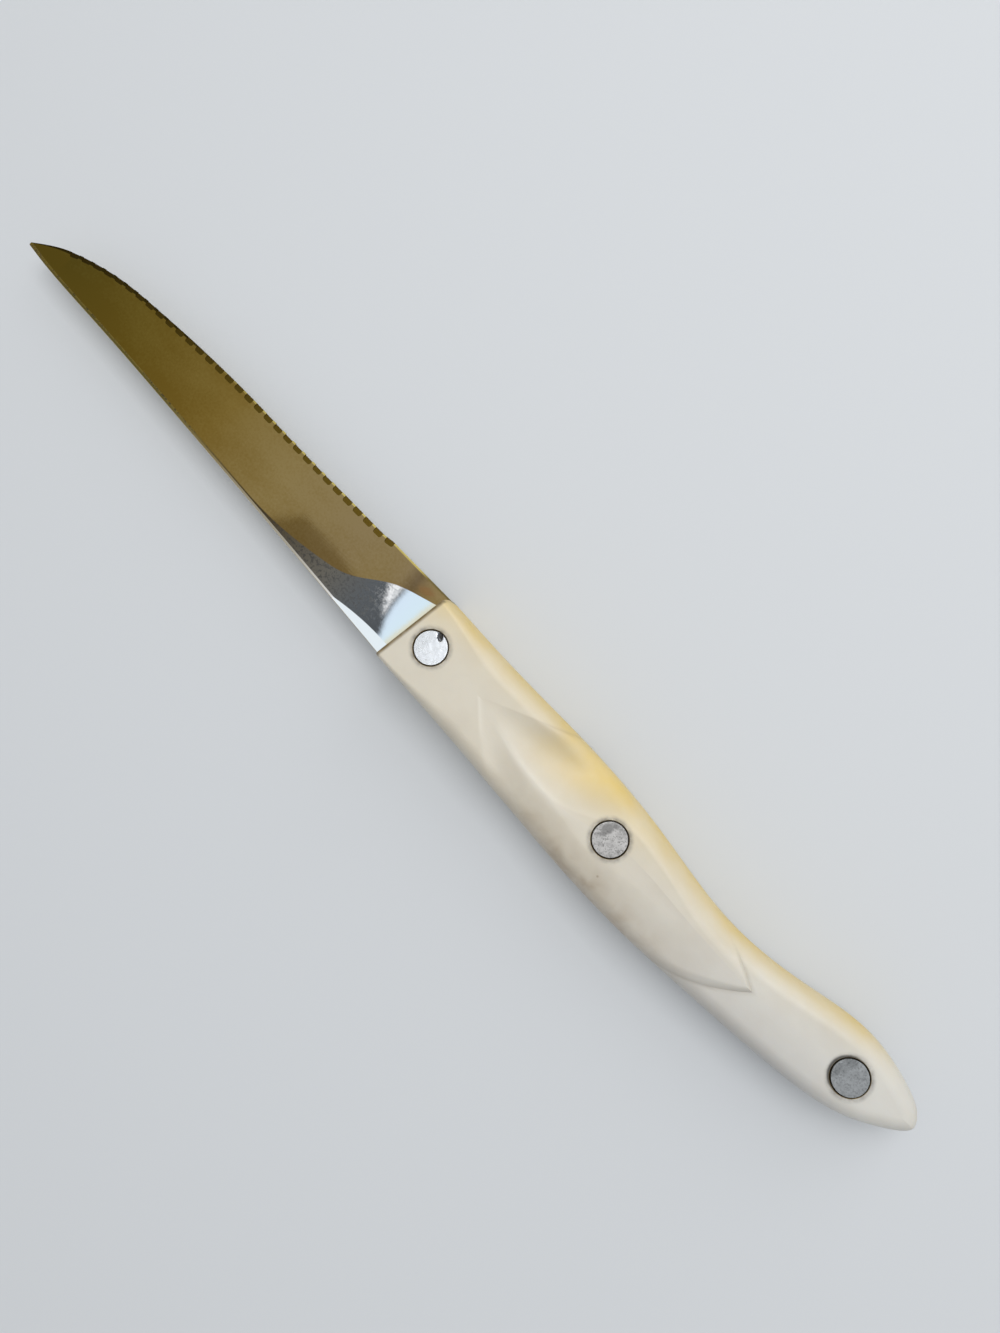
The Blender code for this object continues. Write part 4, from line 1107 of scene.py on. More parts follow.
def rivet_tree():
    """One rivet half, head up with its top at Z = 0: a marked head on a pin or on a hollow shank."""
    head_inputs = ("Head Radius", "Head Depth", "Rim Round", "Dent", "Seed")
    shank_inputs = ("Shank Radius", "Shank Length", "Bore Radius")
    tree, given = new_tree(
        "rivet_half",
        Float=(*head_inputs, *shank_inputs, "Chip Turn", "Chip Depth"),
        Bool=("Hollow",),
        Vector=("Chip Place", "Chip Size"),
    )
    head = add(
        tree,
        "GeometryNodeMeshCylinder",
        {
            "Vertices": TURN_STEPS,
            "Side Segments": 3,
            "Fill Segments": 26,
            "Radius": (given, "Head Radius"),
            "Depth": (given, "Head Depth"),
        },
    )
    half = add(tree, "ShaderNodeMath", {0: (given, "Head Depth"), 1: -0.5}, operation="MULTIPLY")
    sink = add(tree, "ShaderNodeCombineXYZ", {"Z": half})

    spot = add(tree, "GeometryNodeInputPosition")
    flat = add(tree, "ShaderNodeVectorMath", {0: spot, 1: (1.0, 1.0, 0.0)}, operation="MULTIPLY")
    radius = add(tree, "ShaderNodeVectorMath", {0: flat}, operation="LENGTH")
    inner = add(
        tree,
        "ShaderNodeMath",
        {0: (given, "Head Radius"), 1: (given, "Rim Round")},
        operation="SUBTRACT",
    )
    past = add(
        tree,
        "ShaderNodeMapRange",
        {"Value": radius, "From Min": inner, "From Max": (given, "Head Radius")},
    )
    squared = add(tree, "ShaderNodeMath", {0: past, 1: 2.0}, operation="POWER")
    rest = add(tree, "ShaderNodeMath", {0: 1.0, 1: squared}, operation="SUBTRACT")
    root = add(tree, "ShaderNodeMath", {0: rest}, operation="SQRT")
    fall = add(tree, "ShaderNodeMath", {0: 1.0, 1: root}, operation="SUBTRACT")
    rounding = add(tree, "ShaderNodeMath", {0: fall, 1: (given, "Rim Round")}, operation="MULTIPLY")

    marks = add(
        tree,
        "ShaderNodeTexNoise",
        {"Vector": flat, "W": (given, "Seed"), "Scale": 1 / DENT_SIZE, "Detail": 2.0},
        noise_dimensions="4D",
    )
    dents = add(tree, "ShaderNodeMath", {0: marks, 1: (given, "Dent")}, operation="MULTIPLY")

    from_chip = add(tree, "ShaderNodeVectorMath", {0: flat, 1: (given, "Chip Place")}, operation="SUBTRACT")
    turned = add(
        tree,
        "ShaderNodeVectorRotate",
        {"Vector": from_chip, "Angle": (given, "Chip Turn")},
        rotation_type="Z_AXIS",
    )
    scaled = add(tree, "ShaderNodeVectorMath", {0: turned, 1: (given, "Chip Size")}, operation="DIVIDE")
    away = add(tree, "ShaderNodeVectorMath", {0: scaled}, operation="LENGTH")
    inside = add(
        tree,
        "ShaderNodeMapRange",
        {"Value": away, "From Min": 1.0, "From Max": 0.6},
        interpolation_type="SMOOTHSTEP",
    )
    chip = add(tree, "ShaderNodeMath", {0: inside, 1: (given, "Chip Depth")}, operation="MULTIPLY")

    worn = add(tree, "ShaderNodeMath", {0: rounding, 1: dents}, operation="ADD")
    lost = add(tree, "ShaderNodeMath", {0: worn, 1: chip}, operation="ADD")
    lowered = add(tree, "ShaderNodeMath", {0: lost, 1: -1.0}, operation="MULTIPLY")
    offset = add(tree, "ShaderNodeCombineXYZ", {"Z": lowered})
    start = add(
        tree,
        "GeometryNodeStoreNamedAttribute",
        {"Geometry": head, "Name": "chip", "Value": inside},
        data_type="FLOAT",
        domain="POINT",
    )
    shaped = add(
        tree,
        "GeometryNodeSetPosition",
        {"Geometry": start, "Selection": (head, "Top"), "Offset": offset},
    )
    sunk = add(tree, "GeometryNodeTransform", {"Geometry": shaped, "Translation": sink})

    shank = add(
        tree,
        "GeometryNodeMeshCylinder",
        {"Vertices": TURN_STEPS // 2, "Radius": (given, "Shank Radius"), "Depth": (given, "Shank Length")},
    )
    reach = add(tree, "ShaderNodeMath", {0: (given, "Shank Length"), 1: -0.5}, operation="MULTIPLY")
    shank_down = add(tree, "ShaderNodeMath", {0: reach, 1: half}, operation="ADD")
    shank_place = add(tree, "ShaderNodeCombineXYZ", {"Z": shank_down})
    shank_set = add(tree, "GeometryNodeTransform", {"Geometry": shank, "Translation": shank_place})
    solid = add(
        tree,
        "GeometryNodeMeshBoolean",
        {"Mesh 2": [sunk, shank_set]},
        operation="UNION",
        solver="EXACT",
    )
    bore = add(
        tree,
        "GeometryNodeMeshCylinder",
        {"Vertices": TURN_STEPS // 2, "Radius": (given, "Bore Radius"), "Depth": (given, "Shank Length")},
    )
    bore_down = add(tree, "ShaderNodeMath", {0: reach, 1: (given, "Head Depth")}, operation="SUBTRACT")
    bore_place = add(tree, "ShaderNodeCombineXYZ", {"Z": bore_down})
    bore_set = add(tree, "GeometryNodeTransform", {"Geometry": bore, "Translation": bore_place})
    bored = add(
        tree,
        "GeometryNodeMeshBoolean",
        {"Mesh 1": solid, "Mesh 2": bore_set},
        operation="DIFFERENCE",
        solver="EXACT",
    )
    chosen = add(tree, "GeometryNodeSwitch", {"Switch": (given, "Hollow"), "False": solid, "True": bored})
    end_tree(tree, given, chosen, SHARP_ANGLE)
    return tree


def new_material(name):
    """An empty node material, with its tree and its shader."""
    material = bpy.data.materials.new(name)
    material.use_nodes = True
    return material, material.node_tree, material.node_tree.nodes["Principled BSDF"]


# Resin: where its tints and marks lie, and how strongly they show
COOL_SPAN = (0.35, 0.85)  # shares of the handle's length where the cool tint starts and is full
DIM_ENDS = (0.95, 0.85)  # shares where the painted shade on the rear's spine side ends before the butt
DIM_SIDE = (2.0 * MM, 10.5 * MM)  # from the knife's axis towards the spine
STAIN_AND_SHADE_SHOWS = 0.7
CREASE_SHOWS = 0.16
WORN_SHOWS = 0.25
HALO_REACH = 1.1 * MM  # of the soot about a rivet
CRESCENT_OFF = 0.4 * MM  # from the rear rivet's centre towards the blade
CRESCENT_RIM = (0.3 * MM, -0.1 * MM)  # about the bore, where the dark crescent starts and is full
CRESCENT_SHADE = "#24221E"
BORE_DIRT = (0.11 * MM, 0.02 * MM)  # about a bore, where its dirt starts and is full
FRONT_DIRT_AND_SHADE = (1.0 * MM, 0.3 * MM)  # behind the handle's front, where dirt and a painted shadow line the joint with the blade
RIM_DIRT_AND_SHADE = (1.4 * MM, 0.6 * MM)  # below the front's rim
BLADE_DIRT_AND_SHADE = (3.2 * MM, 1.2 * MM)  # from the blade's middle plane, where dirt and painted shade darken the front face by the blade
SPECK_PICK = 0.72  # about the share of the specks that is left out
SPECK_SHOWS = 0.4


def moulded_resin(sizes, form, axis, ring):
    """Ivory thermoset resin, moulded and buffed.

    It shows the eye a dense, satin, slightly waxy body: clouded cream, cooler at the rear and with painted
    shade on the rear's spine side, yellowed where the hand holds it and along the belly, where painted warm
    light is mixed in, with brown stains mixed with painted shade along the spine, pale wear mixed with
    painted highlights on the ridges, dark dirt mixed with painted shade at the front and in creases, grey
    dirt round the rivets, dirt in bores and a painted shadow crescent by the rear rivet.
    """
    material, tree, shader = new_material("moulded_ivory_resin")
    coords = (add(tree, "ShaderNodeTexCoord"), "Object")
    axes = add(tree, "ShaderNodeSeparateXYZ", {"Vector": coords})
    flat = add(tree, "ShaderNodeVectorMath", {0: coords, 1: (1.0, 1.0, 0.0)}, operation="MULTIPLY")
    clouds = add(tree, "ShaderNodeTexNoise", {"Vector": coords, "Scale": 1 / (9 * MM), "Detail": 4.0})
    grain = add(tree, "ShaderNodeTexNoise", {"Vector": coords, "Scale": 1 / (1.2 * MM), "Detail": 3.0})
    marks = {name: (add(tree, "ShaderNodeAttribute", attribute_name=name), "Fac") for name in AGES}

    cool_start, cool_full = (axis.x + share * sizes.length for share in COOL_SPAN)
    rearward = add(
        tree,
        "ShaderNodeMapRange",
        {"Value": (axes, "X"), "From Min": cool_start, "From Max": cool_full},
        interpolation_type="SMOOTHSTEP",
    )
    # Painted shade: greyer on the rear's spine side, fading out before the butt.
    side_start, side_full = (axis.y - distance for distance in DIM_SIDE)
    spineward = add(
        tree,
        "ShaderNodeMapRange",
        {"Value": (axes, "Y"), "From Min": side_start, "From Max": side_full, "To Max": 0.6},
    )
    dim_end, dim_full = (axis.x + share * sizes.length for share in DIM_ENDS)
    before_butt = add(
        tree,
        "ShaderNodeMapRange",
        {"Value": (axes, "X"), "From Min": dim_end, "From Max": dim_full},
    )
    dim_rear = add(tree, "ShaderNodeMath", {0: rearward, 1: spineward}, operation="MULTIPLY")
    painted_shade = add(tree, "ShaderNodeMath", {0: dim_rear, 1: before_butt}, operation="MULTIPLY")
    clouding = add(
        tree,
        "ShaderNodeMapRange",
        {"Value": clouds, "From Min": 0.35, "From Max": 0.75, "To Max": 0.16},
    )

    patchy = add(
        tree,
        "ShaderNodeMapRange",
        {"Value": clouds, "From Min": 0.3, "From Max": 0.7, "To Min": 0.65, "To Max": 1.1},
    )
    # Yellowing, with painted warm light along the belly's edge.
    aged = add(tree, "ShaderNodeMath", {0: marks["aged"], 1: patchy}, operation="MULTIPLY", use_clamp=True)
    blotches = add(
        tree,
        "ShaderNodeTexNoise",
        {"Vector": coords, "Scale": 1 / (4 * MM), "Detail": 3.0, "Distortion": 0.4},
    )
    blotchy = add(
        tree,
        "ShaderNodeMapRange",
        {"Value": blotches, "From Min": 0.4, "From Max": 0.7, "To Min": 0.45},
    )
    # Brown stain mixed with painted shade along the spine.
    stain_and_shade_full = add(tree, "ShaderNodeMath", {0: marks["soiled"], 1: blotchy}, operation="MULTIPLY")
    soiled = add(tree, "ShaderNodeMath", {0: stain_and_shade_full, 1: STAIN_AND_SHADE_SHOWS}, operation="MULTIPLY")
    # Dirt mixed with painted shade in the creases.
    crease = add(tree, "ShaderNodeMath", {0: marks["crease"], 1: CREASE_SHOWS}, operation="MULTIPLY")
    # Pale wear mixed with painted highlights on the ridges.
    worn = add(tree, "ShaderNodeMath", {0: marks["worn"], 1: WORN_SHOWS}, operation="MULTIPLY")

    rivets = form.rivet_places()
    nearest = None
    for x, y, _ in rivets.values():
        spot = (x + axis.x, y + axis.y, 0.0)
        away = add(tree, "ShaderNodeVectorMath", {0: flat, 1: spot}, operation="DISTANCE")
        if nearest is None:
            nearest = away
        else:
            nearest = add(tree, "ShaderNodeMath", {0: nearest, 1: away}, operation="MINIMUM")
    near = add(
        tree,
        "ShaderNodeMapRange",
        {"Value": nearest, "From Min": ring + HALO_REACH, "From Max": ring},
        interpolation_type="SMOOTHSTEP",
    )
    sooty = add(
        tree,
        "ShaderNodeMapRange",
        {"Value": grain, "From Min": 0.3, "From Max": 0.7, "To Min": 0.2, "To Max": 0.8},
    )
    halo = add(tree, "ShaderNodeMath", {0: near, 1: sooty}, operation="MULTIPLY")
    off_centre = (rivets["rear"][0] + axis.x - CRESCENT_OFF, rivets["rear"][1] + axis.y, 0.0)
    from_rear = add(tree, "ShaderNodeVectorMath", {0: flat, 1: off_centre}, operation="DISTANCE")
    rim_start, rim_full = (ring + distance for distance in CRESCENT_RIM)
    crescent = add(
        tree,
        "ShaderNodeMapRange",
        {"Value": from_rear, "From Min": rim_start, "From Max": rim_full, "To Max": 0.85},
        interpolation_type="SMOOTHSTEP",
    )

    bore_start, bore_full = (ring + distance for distance in BORE_DIRT)
    in_bore = add(
        tree,
        "ShaderNodeMapRange",
        {"Value": nearest, "From Min": bore_start, "From Max": bore_full},
    )
    # At the front: dirt mixed with a painted shadow along the joint with the blade.
    lean = math.tan(FRONT_SLANT)
    slant = add(tree, "ShaderNodeMath", {0: (axes, "Y"), 1: -lean}, operation="MULTIPLY")
    from_front = add(tree, "ShaderNodeMath", {0: (axes, "X"), 1: slant}, operation="ADD")
    lip_start, lip_full = (axis.x - axis.y * lean + distance for distance in FRONT_DIRT_AND_SHADE)
    lip = add(
        tree,
        "ShaderNodeMapRange",
        {"Value": from_front, "From Min": lip_start, "From Max": lip_full},
        interpolation_type="SMOOTHSTEP",
    )
    height = add(tree, "ShaderNodeMath", {0: (axes, "Z"), 1: -axis.z}, operation="ADD")
    depth = add(tree, "ShaderNodeMath", {0: height}, operation="ABSOLUTE")
    edge_start, edge_full = (sizes.front_half - distance for distance in RIM_DIRT_AND_SHADE)
    at_rim = add(
        tree,
        "ShaderNodeMapRange",
        {"Value": depth, "From Min": edge_start, "From Max": edge_full},
    )
    at_blade = add(
        tree,
        "ShaderNodeMapRange",
        {"Value": depth, "From Min": BLADE_DIRT_AND_SHADE[0], "From Max": BLADE_DIRT_AND_SHADE[1], "To Min": 0.3},
    )
    on_front = add(tree, "ShaderNodeMath", {0: at_rim, 1: at_blade}, operation="MAXIMUM")
    front_dirt_and_shade = add(tree, "ShaderNodeMath", {0: lip, 1: on_front}, operation="MULTIPLY")
    all_dirt_and_shade = add(tree, "ShaderNodeMath", {0: in_bore, 1: front_dirt_and_shade}, operation="MAXIMUM")
    uneven = add(
        tree,
        "ShaderNodeMapRange",
        {"Value": grain, "From Min": 0.2, "From Max": 0.6, "To Min": 0.75, "To Max": 1.0},
    )
    dirt = add(tree, "ShaderNodeMath", {0: all_dirt_and_shade, 1: uneven}, operation="MULTIPLY")

    cells = add(tree, "ShaderNodeTexVoronoi", {"Vector": coords, "Scale": 1 / (5 * MM)})
    spots = add(
        tree,
        "ShaderNodeMapRange",
        {"Value": (cells, "Distance"), "From Min": 0.06, "From Max": 0.03},
    )
    pick = add(tree, "ShaderNodeSeparateColor", {"Color": (cells, "Color")})
    few = add(tree, "ShaderNodeMath", {0: (pick, "Red"), 1: SPECK_PICK}, operation="GREATER_THAN")
    picked = add(tree, "ShaderNodeMath", {0: spots, 1: few}, operation="MULTIPLY")
    specks = add(tree, "ShaderNodeMath", {0: picked, 1: SPECK_SHOWS}, operation="MULTIPLY")

    layers = (
        (rearward, sizes.cool),
        (painted_shade, sizes.painted_shade),
        (clouding, sizes.soiled),
        (aged, sizes.yellowed),
        (soiled, sizes.soiled),
        (crease, sizes.grime_and_shade),
        (worn, sizes.worn),
        (halo, sizes.soot),
        (crescent, linear(CRESCENT_SHADE)),
        (dirt, sizes.grime_and_shade),
        (specks, sizes.grime_and_shade),
    )
    colour = tuple(sizes.cream)
    for mask, over in layers:
        inputs = {"Factor": mask, "A": colour, "B": tuple(over)}
        colour = add(tree, "ShaderNodeMix", inputs, data_type="RGBA")

    roughness = add(
        tree,
        "ShaderNodeMapRange",
        {"Value": grain, "From Min": 0.25, "From Max": 0.75, "To Min": 0.36, "To Max": 0.48},
    )
    stretched = add(
        tree,
        "ShaderNodeMapping",
        {"Vector": coords, "Rotation": (0.0, 0.0, 0.5), "Scale": (1.0, 14.0, 14.0)},
    )
    scratches = add(
        tree,
        "ShaderNodeTexNoise",
        {"Vector": stretched, "Scale": 1 / (6 * MM), "Detail": 6.0, "Roughness": 0.7},
    )
    relief = add(tree, "ShaderNodeMath", {0: grain, 1: scratches}, operation="ADD")
    bump = add(tree, "ShaderNodeBump", {"Height": relief, "Strength": 0.12, "Distance": 0.06 * MM})
    feed(
        tree,
        shader,
        {
            "Base Color": colour,
            "Roughness": roughness,
            "Normal": bump,
            "IOR": 1.52,
            "Subsurface Weight": 0.12,
            "Subsurface Radius": (1.0, 0.7, 0.4),
            "Subsurface Scale": 1.2 * MM,
        },
    )
    return material


# Steel: where its tint of tarnish and painted reflection, its painted reflection at the heel and its dust
# lie, and how strongly they show
TARNISH_STARTS = 0.3  # share of the blade, from the handle, where the tip's tint begins
TARNISH_SIDE = (1.65, 1.1)  # marks of the ground face between which its tint, partly painted reflection, darkens towards the plunge line
HEEL_REFLECTION = (-3.9 * MM, 6.1 * MM)  # from the knife's axis at the handle's front
REFLECTION_TURN = -0.2
REFLECTION_SQUEEZE = (1.0, 2.0, 0.0)  # of the round painted reflection to an oval in the plane of the blade
REFLECTION_REACH = (2.6 * MM, 0.6 * MM)  # from its middle, where it starts and is full
REFLECTION_RAGGED = 0.5 * MM  # either way, at its rim
DUST_STARTS = (6.0 * MM, 10.0 * MM)  # from the handle's front, where dust starts and is full
DUST_SHOWS = 0.7
DUST_GREY = "#4A4A4C"
ROUGHER_RECESS = 0.3
ROUGHER_DUST = 0.12
ROUGHER_REFLECTION = 0.15


def polished_stainless(sizes, axis):
    """Stainless steel, wheel-ground and mirror-polished, with a brown tint on the ground faces that is partly
    a thin tarnish and partly painted reflection.

    It shows the eye clear reflections on the flat and the spine's bevel, a warmer and hazier reflection on
    the ground faces, fine scratches and dust specks, and a painted red-brown reflection where the heel meets
    the handle.
    """
    material, tree, shader = new_material("polished_stainless_steel")
    coords = (add(tree, "ShaderNodeTexCoord"), "Object")
    axes = add(tree, "ShaderNodeSeparateXYZ", {"Vector": coords})
    ground = (add(tree, "ShaderNodeAttribute", attribute_name="ground"), "Fac")
    drawn = add(tree, "ShaderNodeMapping", {"Vector": coords, "Scale": (1.0, 2.2, 2.2)})
    clouds = add(
        tree,
        "ShaderNodeTexNoise",
        {"Vector": drawn, "Scale": 1 / (14 * MM), "Detail": 5.0, "Roughness": 0.55},
    )
    fine = add(tree, "ShaderNodeTexNoise", {"Vector": coords, "Scale": 1 / (0.5 * MM), "Detail": 3.0})

    # Tint of tarnish and painted reflection, growing towards the tip and darker towards the plunge line.
    tip_start = axis.x - TARNISH_STARTS * sizes.length
    tarnish = add(
        tree,
        "ShaderNodeMapRange",
        {"Value": (axes, "X"), "From Min": tip_start, "From Max": axis.x - sizes.length},
    )
    clouding = add(
        tree,
        "ShaderNodeMapRange",
        {"Value": clouds, "From Min": 0.3, "From Max": 0.7, "To Min": -0.3, "To Max": 0.3},
    )
    spineward = add(
        tree,
        "ShaderNodeMapRange",
        {"Value": ground, "From Min": TARNISH_SIDE[0], "From Max": TARNISH_SIDE[1], "To Max": 0.45},
    )
    mottling = add(
        tree,
        "ShaderNodeMapRange",
        {"Value": fine, "From Min": 0.3, "From Max": 0.7, "To Min": -0.25, "To Max": 0.25},
    )
    for more in (clouding, spineward, mottling):
        clamped = more is mottling
        tarnish = add(tree, "ShaderNodeMath", {0: tarnish, 1: more}, operation="ADD", use_clamp=clamped)
    ground_tint = add(
        tree,
        "ShaderNodeMix",
        {"Factor": tarnish, "A": tuple(sizes.ground), "B": tuple(sizes.ground_tip)},
        data_type="RGBA",
    )
    ground_side = add(tree, "ShaderNodeMath", {0: ground, 1: 1.0}, operation="MINIMUM")
    # In the recesses: dark brown, part dirt and part a painted dark reflection.
    in_recess = add(tree, "ShaderNodeMapRange", {"Value": ground, "From Min": ON_EDGE, "From Max": IN_RECESS})

    # Painted reflection: a red-brown patch where the heel meets the handle.
    heel = (axis.x + HEEL_REFLECTION[0], axis.y + HEEL_REFLECTION[1], 0.0)
    from_heel = add(tree, "ShaderNodeVectorMath", {0: coords, 1: heel}, operation="SUBTRACT")
    lined_up = add(
        tree,
        "ShaderNodeVectorRotate",
        {"Vector": from_heel, "Angle": REFLECTION_TURN},
        rotation_type="Z_AXIS",
    )
    squeezed = add(tree, "ShaderNodeVectorMath", {0: lined_up, 1: REFLECTION_SQUEEZE}, operation="MULTIPLY")
    far = add(tree, "ShaderNodeVectorMath", {0: squeezed}, operation="LENGTH")
    ragged = add(
        tree,
        "ShaderNodeMapRange",
        {"Value": fine, "From Min": 0.3, "From Max": 0.7, "To Min": -REFLECTION_RAGGED, "To Max": REFLECTION_RAGGED},
    )
    rough_far = add(tree, "ShaderNodeMath", {0: far, 1: ragged}, operation="ADD")
    painted_reflection_full = add(
        tree,
        "ShaderNodeMapRange",
        {"Value": rough_far, "From Min": REFLECTION_REACH[0], "From Max": REFLECTION_REACH[1], "To Max": 0.6},
        interpolation_type="SMOOTHSTEP",
    )
    stain = add(tree, "ShaderNodeMath", {0: painted_reflection_full, 1: ground_side}, operation="MULTIPLY")

    # Real dust is far finer than this, which is drawn coarser so that it shows
    dust = add(
        tree,
        "ShaderNodeTexNoise",
        {"Vector": coords, "Scale": 1 / (0.8 * MM), "Detail": 3.0, "Roughness": 0.75},
    )
    off_flat = add(tree, "ShaderNodeMath", {0: ground_side}, operation="ABSOLUTE")
    on_flat = add(tree, "ShaderNodeMath", {0: 1.0, 1: off_flat}, operation="SUBTRACT")
    thick = add(
        tree,
        "ShaderNodeMapRange",
        {"Value": clouds, "From Min": 0.35, "From Max": 0.6, "To Min": 0.35},
    )
    dust_start, dust_full = (axis.x - distance for distance in DUST_STARTS)
    off_handle = add(
        tree,
        "ShaderNodeMapRange",
        {"Value": (axes, "X"), "From Min": dust_start, "From Max": dust_full},
    )
    dust_reach = add(tree, "ShaderNodeMath", {0: on_flat, 1: off_handle}, operation="MULTIPLY")
    dust_field = add(tree, "ShaderNodeMath", {0: dust_reach, 1: thick}, operation="MULTIPLY")
    grains = add(tree, "ShaderNodeMapRange", {"Value": dust, "From Min": 0.5, "From Max": 0.58})
    film = add(tree, "ShaderNodeMath", {0: grains, 1: dust_field}, operation="MULTIPLY")
    specks = add(tree, "ShaderNodeMath", {0: film, 1: DUST_SHOWS}, operation="MULTIPLY")

    layers = (
        (ground_side, ground_tint),
        (stain, tuple(sizes.stain)),
        (in_recess, tuple(sizes.recess)),
        (specks, linear(DUST_GREY)),
    )
    colour = tuple(sizes.flat)
    for mask, over in layers:
        colour = add(tree, "ShaderNodeMix", {"Factor": mask, "A": colour, "B": over}, data_type="RGBA")

    roughness = add(tree, "ShaderNodeMapRange", {"Value": ground_side, "To Min": 0.02, "To Max": 0.035})
    for mask, rougher in ((in_recess, ROUGHER_RECESS), (film, ROUGHER_DUST), (stain, ROUGHER_REFLECTION)):
        more = add(tree, "ShaderNodeMath", {0: mask, 1: rougher}, operation="MULTIPLY")
        roughness = add(tree, "ShaderNodeMath", {0: roughness, 1: more}, operation="ADD")
    scored = add(
        tree,
        "ShaderNodeMapping",
        {"Vector": coords, "Rotation": (0.0, 0.0, 0.18), "Scale": (1.0, 30.0, 30.0)},
    )
    scratches = add(
        tree,
        "ShaderNodeTexNoise",
        {"Vector": scored, "Scale": 1 / (8 * MM), "Detail": 5.0, "Roughness": 0.65},
    )
    bump = add(tree, "ShaderNodeBump", {"Height": scratches, "Strength": 0.05, "Distance": 0.02 * MM})
    metallic = add(tree, "ShaderNodeMapRange", {"Value": film, "To Min": 1.0, "To Max": 0.95})
    feed(
        tree,
        shader,
        {"Base Color": colour, "Roughness": roughness, "Normal": bump, "Metallic": metallic},
    )
    return material


# Nickel silver: how dark its marks are, and how its roughness varies
DARK_SHARE = 0.35  # of the metal's colour
CHIP_DARK = "#14120E"
ROUGHNESS_SPREAD = (-0.06, 0.1)


def nickel_silver(name, colour, roughness, smear, seed, centre):
    """Nickel silver, set and ground flush.

    It shows the eye a greyish, blurred shine, mottled where it was hammered, with a dark smear of old polish
    on one side of the head and fine dark pits.
    """
    material, tree, shader = new_material(name)
    coords = (add(tree, "ShaderNodeTexCoord"), "Object")
    mottle = add(
        tree,
        "ShaderNodeTexNoise",
        {"Vector": coords, "W": seed, "Scale": 1 / (1.6 * MM), "Detail": 4.0, "Roughness": 0.65},
        noise_dimensions="4D",
    )
    fine = add(
        tree,
        "ShaderNodeTexNoise",
        {"Vector": coords, "W": seed, "Scale": 1 / (0.3 * MM), "Detail": 3.0},
        noise_dimensions="4D",
    )
    from_smear = add(tree, "ShaderNodeVectorMath", {0: coords, 1: centre}, operation="SUBTRACT")
    lined_up = add(
        tree,
        "ShaderNodeVectorRotate",
        {"Vector": from_smear, "Angle": -SMEAR_TURN},
        rotation_type="Z_AXIS",
    )
    squeeze = (1 / SMEAR_HALF[0], 1 / SMEAR_HALF[1], 0.0)
    squeezed = add(tree, "ShaderNodeVectorMath", {0: lined_up, 1: squeeze}, operation="MULTIPLY")
    away = add(tree, "ShaderNodeVectorMath", {0: squeezed}, operation="LENGTH")
    smeared = add(
        tree,
        "ShaderNodeMapRange",
        {"Value": away, "From Min": 1.5, "From Max": 0.5, "To Max": 0.26},
    )
    uneven = add(tree, "ShaderNodeMath", {0: mottle, 1: smeared}, operation="ADD")
    clouds = add(
        tree,
        "ShaderNodeMapRange",
        {"Value": uneven, "From Min": 0.5, "From Max": 0.72, "To Max": smear},
    )
    pits = add(
        tree,
        "ShaderNodeMapRange",
        {"Value": fine, "From Min": 0.52, "From Max": 0.68, "To Max": smear},
    )
    chip = (add(tree, "ShaderNodeAttribute", attribute_name="chip"), "Fac")
    dark = tuple(DARK_SHARE * channel for channel in colour[:3]) + (1.0,)
    metal = tuple(colour)
    for mask, over in ((clouds, dark), (pits, dark), (chip, linear(CHIP_DARK))):
        metal = add(tree, "ShaderNodeMix", {"Factor": mask, "A": metal, "B": over}, data_type="RGBA")
    metallic = add(tree, "ShaderNodeMapRange", {"Value": chip, "To Min": 1.0, "To Max": 0.0})
    smoothest, roughest = (roughness + spread for spread in ROUGHNESS_SPREAD)
    rough = add(
        tree,
        "ShaderNodeMapRange",
        {"Value": fine, "From Min": 0.3, "From Max": 0.7, "To Min": smoothest, "To Max": roughest},
    )
    bump = add(tree, "ShaderNodeBump", {"Height": fine, "Strength": 0.25, "Distance": 0.03 * MM})
    feed(tree, shader, {"Base Color": metal, "Metallic": metallic, "Roughness": rough, "Normal": bump})
    return material


class KNIFE_OT_handle(bpy.types.Operator):
    """Builds the two moulded handle halves"""

    bl_idname = "knife.handle"
    bl_label = "Handle halves"

    def execute(self, context):
        scene = context.scene
        sizes, rivets, blade = scene.knife_handle, scene.knife_rivets, scene.knife_blade
        form = HandleForm(sizes)
        ring = rivets.head_radius + RING_GAP
        resin = moulded_resin(sizes, form, knife_axis(), ring)
        places = helper("bore_places", points_mesh("bore_places", form.rivet_places().values()))
        outline = form.tang_outline(blade, CLEARANCE)
        pocket = helper("tang_pocket", plate("tang_pocket", outline, blade.tang_thickness / 2 + CLEARANCE))
        right = grow(
            bored_half_tree(),
            handle_loft(form),
            places=places,
            pocket=pocket,
            head_bore=ring,
            head_seat=rivets.recess + rivets.head_depth + CLEARANCE,
            shank_bore=rivets.shank_radius + CLEARANCE,
            rim_break=RIM_BREAK,
            through=4 * sizes.front_half,
            material=resin,
        )
        for obj in (places, pocket):
            bpy.data.objects.remove(obj)
        left = right.copy()
        left.transform(Matrix.Scale(-1, 4, (0, 0, 1)))
        left.flip_normals()
        place("right_half_resin", right, "right_handle_half", "handle_resin")
        place("left_half_resin", left, "left_handle_half", "handle_resin")
        return {"FINISHED"}


